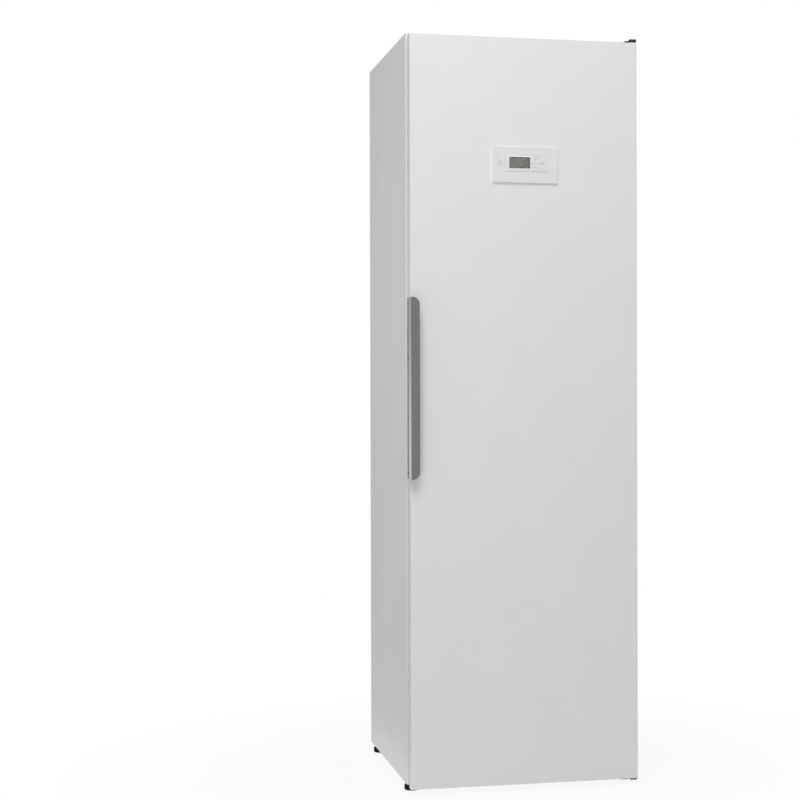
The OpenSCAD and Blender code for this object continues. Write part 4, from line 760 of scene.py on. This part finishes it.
# %% Flat outlines
def flat_mark(kind, **shape):
    """A flat shape that faces the front, ready to be cut."""
    drop_all()
    getattr(bpy.ops.mesh, "primitive_%s_add" % kind)(rotation=(math.pi / 2, 0, 0), **shape)
    bpy.ops.object.transform_apply(location=True, rotation=True, scale=True)
    return bpy.context.object


def triangle(x, z, radius, turn):
    mark = flat_mark("circle", vertices=3, radius=radius, fill_type="NGON", location=(0, 0, 0))
    spun = Matrix.Rotation(turn, 4, "Y")
    mark.data.transform(Matrix.Translation((x, 0, z)) @ spun)
    return mark


def bar(x, z, width, height):
    mark = flat_mark("plane", size=1, location=(0, 0, 0))
    mark.data.transform(Matrix.Translation((x, 0, z)) @ Matrix.Diagonal((width, 1, height, 1)))
    return mark


def ring(radius, width, gap_angle):
    mark = flat_mark("circle", vertices=40, radius=radius, fill_type="NGON", location=(0, 0, 0))
    edit()
    bpy.ops.mesh.select_all(action="SELECT")
    bpy.ops.mesh.inset(thickness=width)
    bpy.ops.mesh.delete(type="FACE")
    pick("polygons", lambda face, spots:
         abs(math.atan2(face.center.x, face.center.z)) < gap_angle)
    bpy.ops.mesh.delete(type="FACE")
    edit(False)
    return mark


# %% [markdown]
# A mark follows the key's shallow dish, which is part of a ball of 30 mm radius.
# So the outline is cut finely, each of its points is laid on the dish, and
# Solidify gives it the thickness of a layer of ink.

# %% Press the marks on the keys
DISH_RADIUS, DISH_DEPTH, INK = 0.030, 0.0004, 0.00005


def press_on_key(name, marks, key):
    """Joins the marks, lays them on the key's dish and gives them the ink's thickness."""
    drop_all()
    for mark in marks:
        mark.select_set(True)
    bpy.context.view_layer.objects.active = marks[0]
    if len(marks) > 1:
        bpy.ops.object.join()
    printed = bpy.context.object
    printed.name = name
    edit()
    bpy.ops.mesh.select_all(action="SELECT")
    bpy.ops.mesh.quads_convert_to_tris()
    bpy.ops.mesh.subdivide(number_cuts=2)
    edit(False)
    low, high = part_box(key)
    middle = (low + high) / 2
    for vertex in printed.data.vertices:
        reach = math.hypot(vertex.co.x, vertex.co.z)
        dip = DISH_DEPTH - DISH_RADIUS + math.sqrt(DISH_RADIUS ** 2 - reach ** 2)
        vertex.co = (middle.x + vertex.co.x, low.y + max(dip, 0) - INK,
                     middle.z + vertex.co.z)
    solid = printed.modifiers.new("ink", "SOLIDIFY")
    solid.thickness, solid.offset = INK, 0
    bpy.ops.object.modifier_apply(modifier="ink")
    finish_piece(printed, BODY_OF[key], "control_white", "legend_grey")


press_on_key("power_mark", [ring(radius=0.0042, width=0.0008, gap_angle=0.5),
                            bar(0, 0.0031, width=0.0008, height=0.0040)], "key_power")
press_on_key("up_mark", [triangle(0, 0, radius=0.0028, turn=0)], "key_up")
press_on_key("down_mark", [triangle(0, 0, radius=0.0028, turn=math.pi)], "key_down")
press_on_key("start_mark", [triangle(-0.0028, 0, radius=0.0033, turn=math.pi / 2),
                            bar(0.0024, 0, width=0.0010, height=0.0056),
                            bar(0.0046, 0, width=0.0010, height=0.0056)], "key_start")

# %% [markdown]
# Each levelling foot is a turned disc with a milled rim to grip, a rounded lower
# edge, a raised middle, a hexagon for a spanner and a stud. The disc starts as
# a cylinder with 64 sides. Insets and short pushes make the steps on top, and
# the grooves come from insetting every other side face and pushing it in.

# %% The disc of a foot
RIM_FACES, DISC_TALL, LOWER_ROUND, LAND = 64, 0.013, 0.0032, 0.0012
STEPS_ON_TOP = ((0.0018, 0.0005), (0.0045, 0.0015))
GROOVE_MARGIN, GROOVE_DEEP = 0.00025, 0.0006
FOOT_LOW, FOOT_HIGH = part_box("foot_front_left")


def every_other_side(face, spots):
    """A test for each second one of the upright faces round the disc."""
    upright = abs(face.normal.z) < 0.1 and 0.005 < face.center.z < 0.012
    turn = math.atan2(face.center.y, face.center.x) / (2 * math.pi) + 1
    return upright and int(turn * RIM_FACES) % 2


drop_all()
bpy.ops.mesh.primitive_cylinder_add(vertices=RIM_FACES, radius=(FOOT_HIGH.x - FOOT_LOW.x) / 2,
                                    depth=DISC_TALL, location=(0, 0, DISC_TALL / 2))
first_foot = bpy.context.object
bpy.ops.object.transform_apply(location=True, rotation=True, scale=True)
edit()
pick("edges", lambda edge, spots: all(s.z < 0.001 for s in spots))
bpy.ops.mesh.bevel(offset=LOWER_ROUND, segments=4)
pick("polygons", lambda face, spots: face.normal.z > 0.9 and face.center.z > 0.012)
bpy.ops.mesh.inset(thickness=LAND)
for inset, rise in STEPS_ON_TOP:
    bpy.ops.mesh.inset(thickness=inset)
    push(z=rise)
bpy.ops.mesh.inset(thickness=LAND)
pick("polygons", every_other_side)
bpy.ops.mesh.inset(thickness=GROOVE_MARGIN, use_individual=True)
bpy.ops.mesh.extrude_faces_move(TRANSFORM_OT_shrink_fatten={"value": -GROOVE_DEEP})
edit(False)
print("disc with", len(first_foot.data.polygons), "faces")

# %% [markdown]
# The hexagon and the stud are cylinders of their own, joined to the disc. This
# one foot is then copied to its four corners, each copy with its own mesh, and
# the first one is taken away.

# %% Collar, stud and the four feet
COLLAR_RADIUS, COLLAR_TALL, COLLAR_MIDDLE = 0.010, 0.0027, 0.01625
STUD_RADIUS, STUD_START = 0.005, 0.0171
drop_all()
bpy.ops.mesh.primitive_cylinder_add(vertices=6, radius=COLLAR_RADIUS, depth=COLLAR_TALL,
                                    location=(0, 0, COLLAR_MIDDLE))
collar = bpy.context.object
bpy.ops.mesh.primitive_cylinder_add(vertices=32, radius=STUD_RADIUS,
                                    depth=FOOT_HIGH.z - STUD_START,
                                    location=(0, 0, (FOOT_HIGH.z + STUD_START) / 2))
first_foot.select_set(True)
collar.select_set(True)
bpy.context.view_layer.objects.active = first_foot
bpy.ops.object.join()


def stand_under(node):
    """A copy of the first foot where the CAD model has this one."""
    low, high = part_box(node)
    middle = (low + high) / 2
    foot = bpy.data.objects.new(node + "_turned", first_foot.data.copy())
    bpy.context.scene.collection.objects.link(foot)
    foot.data.transform(Matrix.Translation((middle.x, middle.y, 0)))
    finish_piece(foot, BODY_OF[node], "black_plastic", hides=(node,))


for corner in ("front_left", "front_right", "rear_left", "rear_right"):
    stand_under("foot_" + corner)
bpy.data.objects.remove(first_foot)

# %% [markdown]
# The picture is a studio shot on white. Camera, mirror and glass rays see pure
# white where there is nothing. The floor is a wide pale disc. It is part
# emission for those rays, wholly so from 1.2 m out, so that it fades into the
# white and still keeps the cabinet's shadow close by.

# %% Floor and background
FLOOR_RADIUS, FADE_START, FADE_END, SHARE_AT_FEET = 14, 0.4, 1.2, 0.90
scene = bpy.context.scene
scene.view_settings.view_transform = "Standard"


def sees_white(finish):
    """1 for the rays that carry the picture, and 0 for those that carry light."""
    path = finish.node("ShaderNodeLightPath")
    camera, gloss, through = (Wire(finish, path.outputs[name]) for name in
                              ("Is Camera Ray", "Is Glossy Ray", "Is Transmission Ray"))
    return finish.spread(camera + gloss + through, 0, 1)


drop_all()
bpy.ops.mesh.primitive_circle_add(vertices=96, radius=FLOOR_RADIUS, fill_type="NGON",
                                  location=(0, 0, 0))
floor = bpy.context.object
floor.name = "studio_floor"
pale = Finish("studio_floor", roughness=0.7, specular=0.2)
pale.paint("Base Color", pale.mix(pale.noise(0.8, 2),
                                  (0.80, 0.80, 0.80), (0.82, 0.82, 0.82)))
length = pale.node("ShaderNodeVectorMath", {"operation": "LENGTH"}, {0: pale.place()})
distance = Wire(pale, length.outputs["Value"])
share = pale.spread(distance, FADE_START, FADE_END, SHARE_AT_FEET, 1.0) * sees_white(pale)
white = pale.node("ShaderNodeEmission", None, {"Color": (1, 1, 1, 1), "Strength": 1.0})
blend = pale.node("ShaderNodeMixShader", None,
                  {0: share, 1: pale.shader.outputs[0], 2: white.outputs[0]})
pale.plug(pale.tree.nodes["Material Output"].inputs[0], blend.outputs[0])
floor.data.materials.append(pale.ready())

# %% [markdown]
# The world has two whites. One lights the cabinet weakly from all round, and
# the other one, at full strength, is what the camera sees behind it.

# %% World
WORLD_LIGHT, WORLD_SEEN = 0.27, 1.0
world = bpy.data.worlds.new("studio")
scene.world = world
world.use_nodes = True


class Surround(Finish):
    """The same helpers on the world's tree."""

    def __init__(self, of_world):
        self.tree = of_world.node_tree


air = Surround(world)
lit, seen = (air.node("ShaderNodeBackground", None, {"Color": (1, 1, 1, 1), "Strength": power})
             for power in (WORLD_LIGHT, WORLD_SEEN))
sky = air.node("ShaderNodeMixShader", None,
               {0: sees_white(air), 1: lit.outputs[0], 2: seen.outputs[0]})
air.plug(world.node_tree.nodes["World Output"].inputs[0], sky.outputs[0])
print("world lights at", WORLD_LIGHT, "and shows white at", WORLD_SEEN)

# %% [markdown]
# Large lamps give soft shadows. The key lamp hangs high in front and a little
# to the left, so the handle's shadow falls down and to the right. A low lamp
# lifts the lower half of the door, a weak one and a strip near the floor lift
# the left side, and one at the rear right is for the two sides that the
# picture doesn't show.

# %% Lamps
def soft_lamp(name, place, aim, size, power):
    lamp_data = bpy.data.lights.new(name, "AREA")
    lamp_data.shape = "RECTANGLE"
    lamp_data.size, lamp_data.size_y = size
    lamp_data.energy = power
    lamp = bpy.data.objects.new(name, lamp_data)
    lamp.location = place
    lamp.rotation_euler = (Vector(aim) - Vector(place)).to_track_quat("-Z", "Y").to_euler()
    lamp.visible_camera = False
    scene.collection.objects.link(lamp)
    print("lamp", name, power, "W")


soft_lamp("key", (-0.8, -2.5, 4.1), aim=(0, -0.2, 1.3), size=(2.2, 2.2), power=85.5)
soft_lamp("low_front", (-0.9, -3.4, 0.9), aim=(0, -0.2, 0.8), size=(2.0, 1.2), power=14)
soft_lamp("left", (-1.1, 0.0, 1.25), aim=(-0.3, 0.0, 1.25), size=(0.5, 0.5), power=0.5)
soft_lamp("floor_bounce", (-0.37, 0.0, 0.025), aim=(-0.3, 0.0, 0.025),
          size=(0.8, 0.03), power=0.04)
soft_lamp("rear_right", (2.4, 2.1, 1.7), aim=(0.15, 0.1, 1.0), size=(1.6, 1.6), power=22)
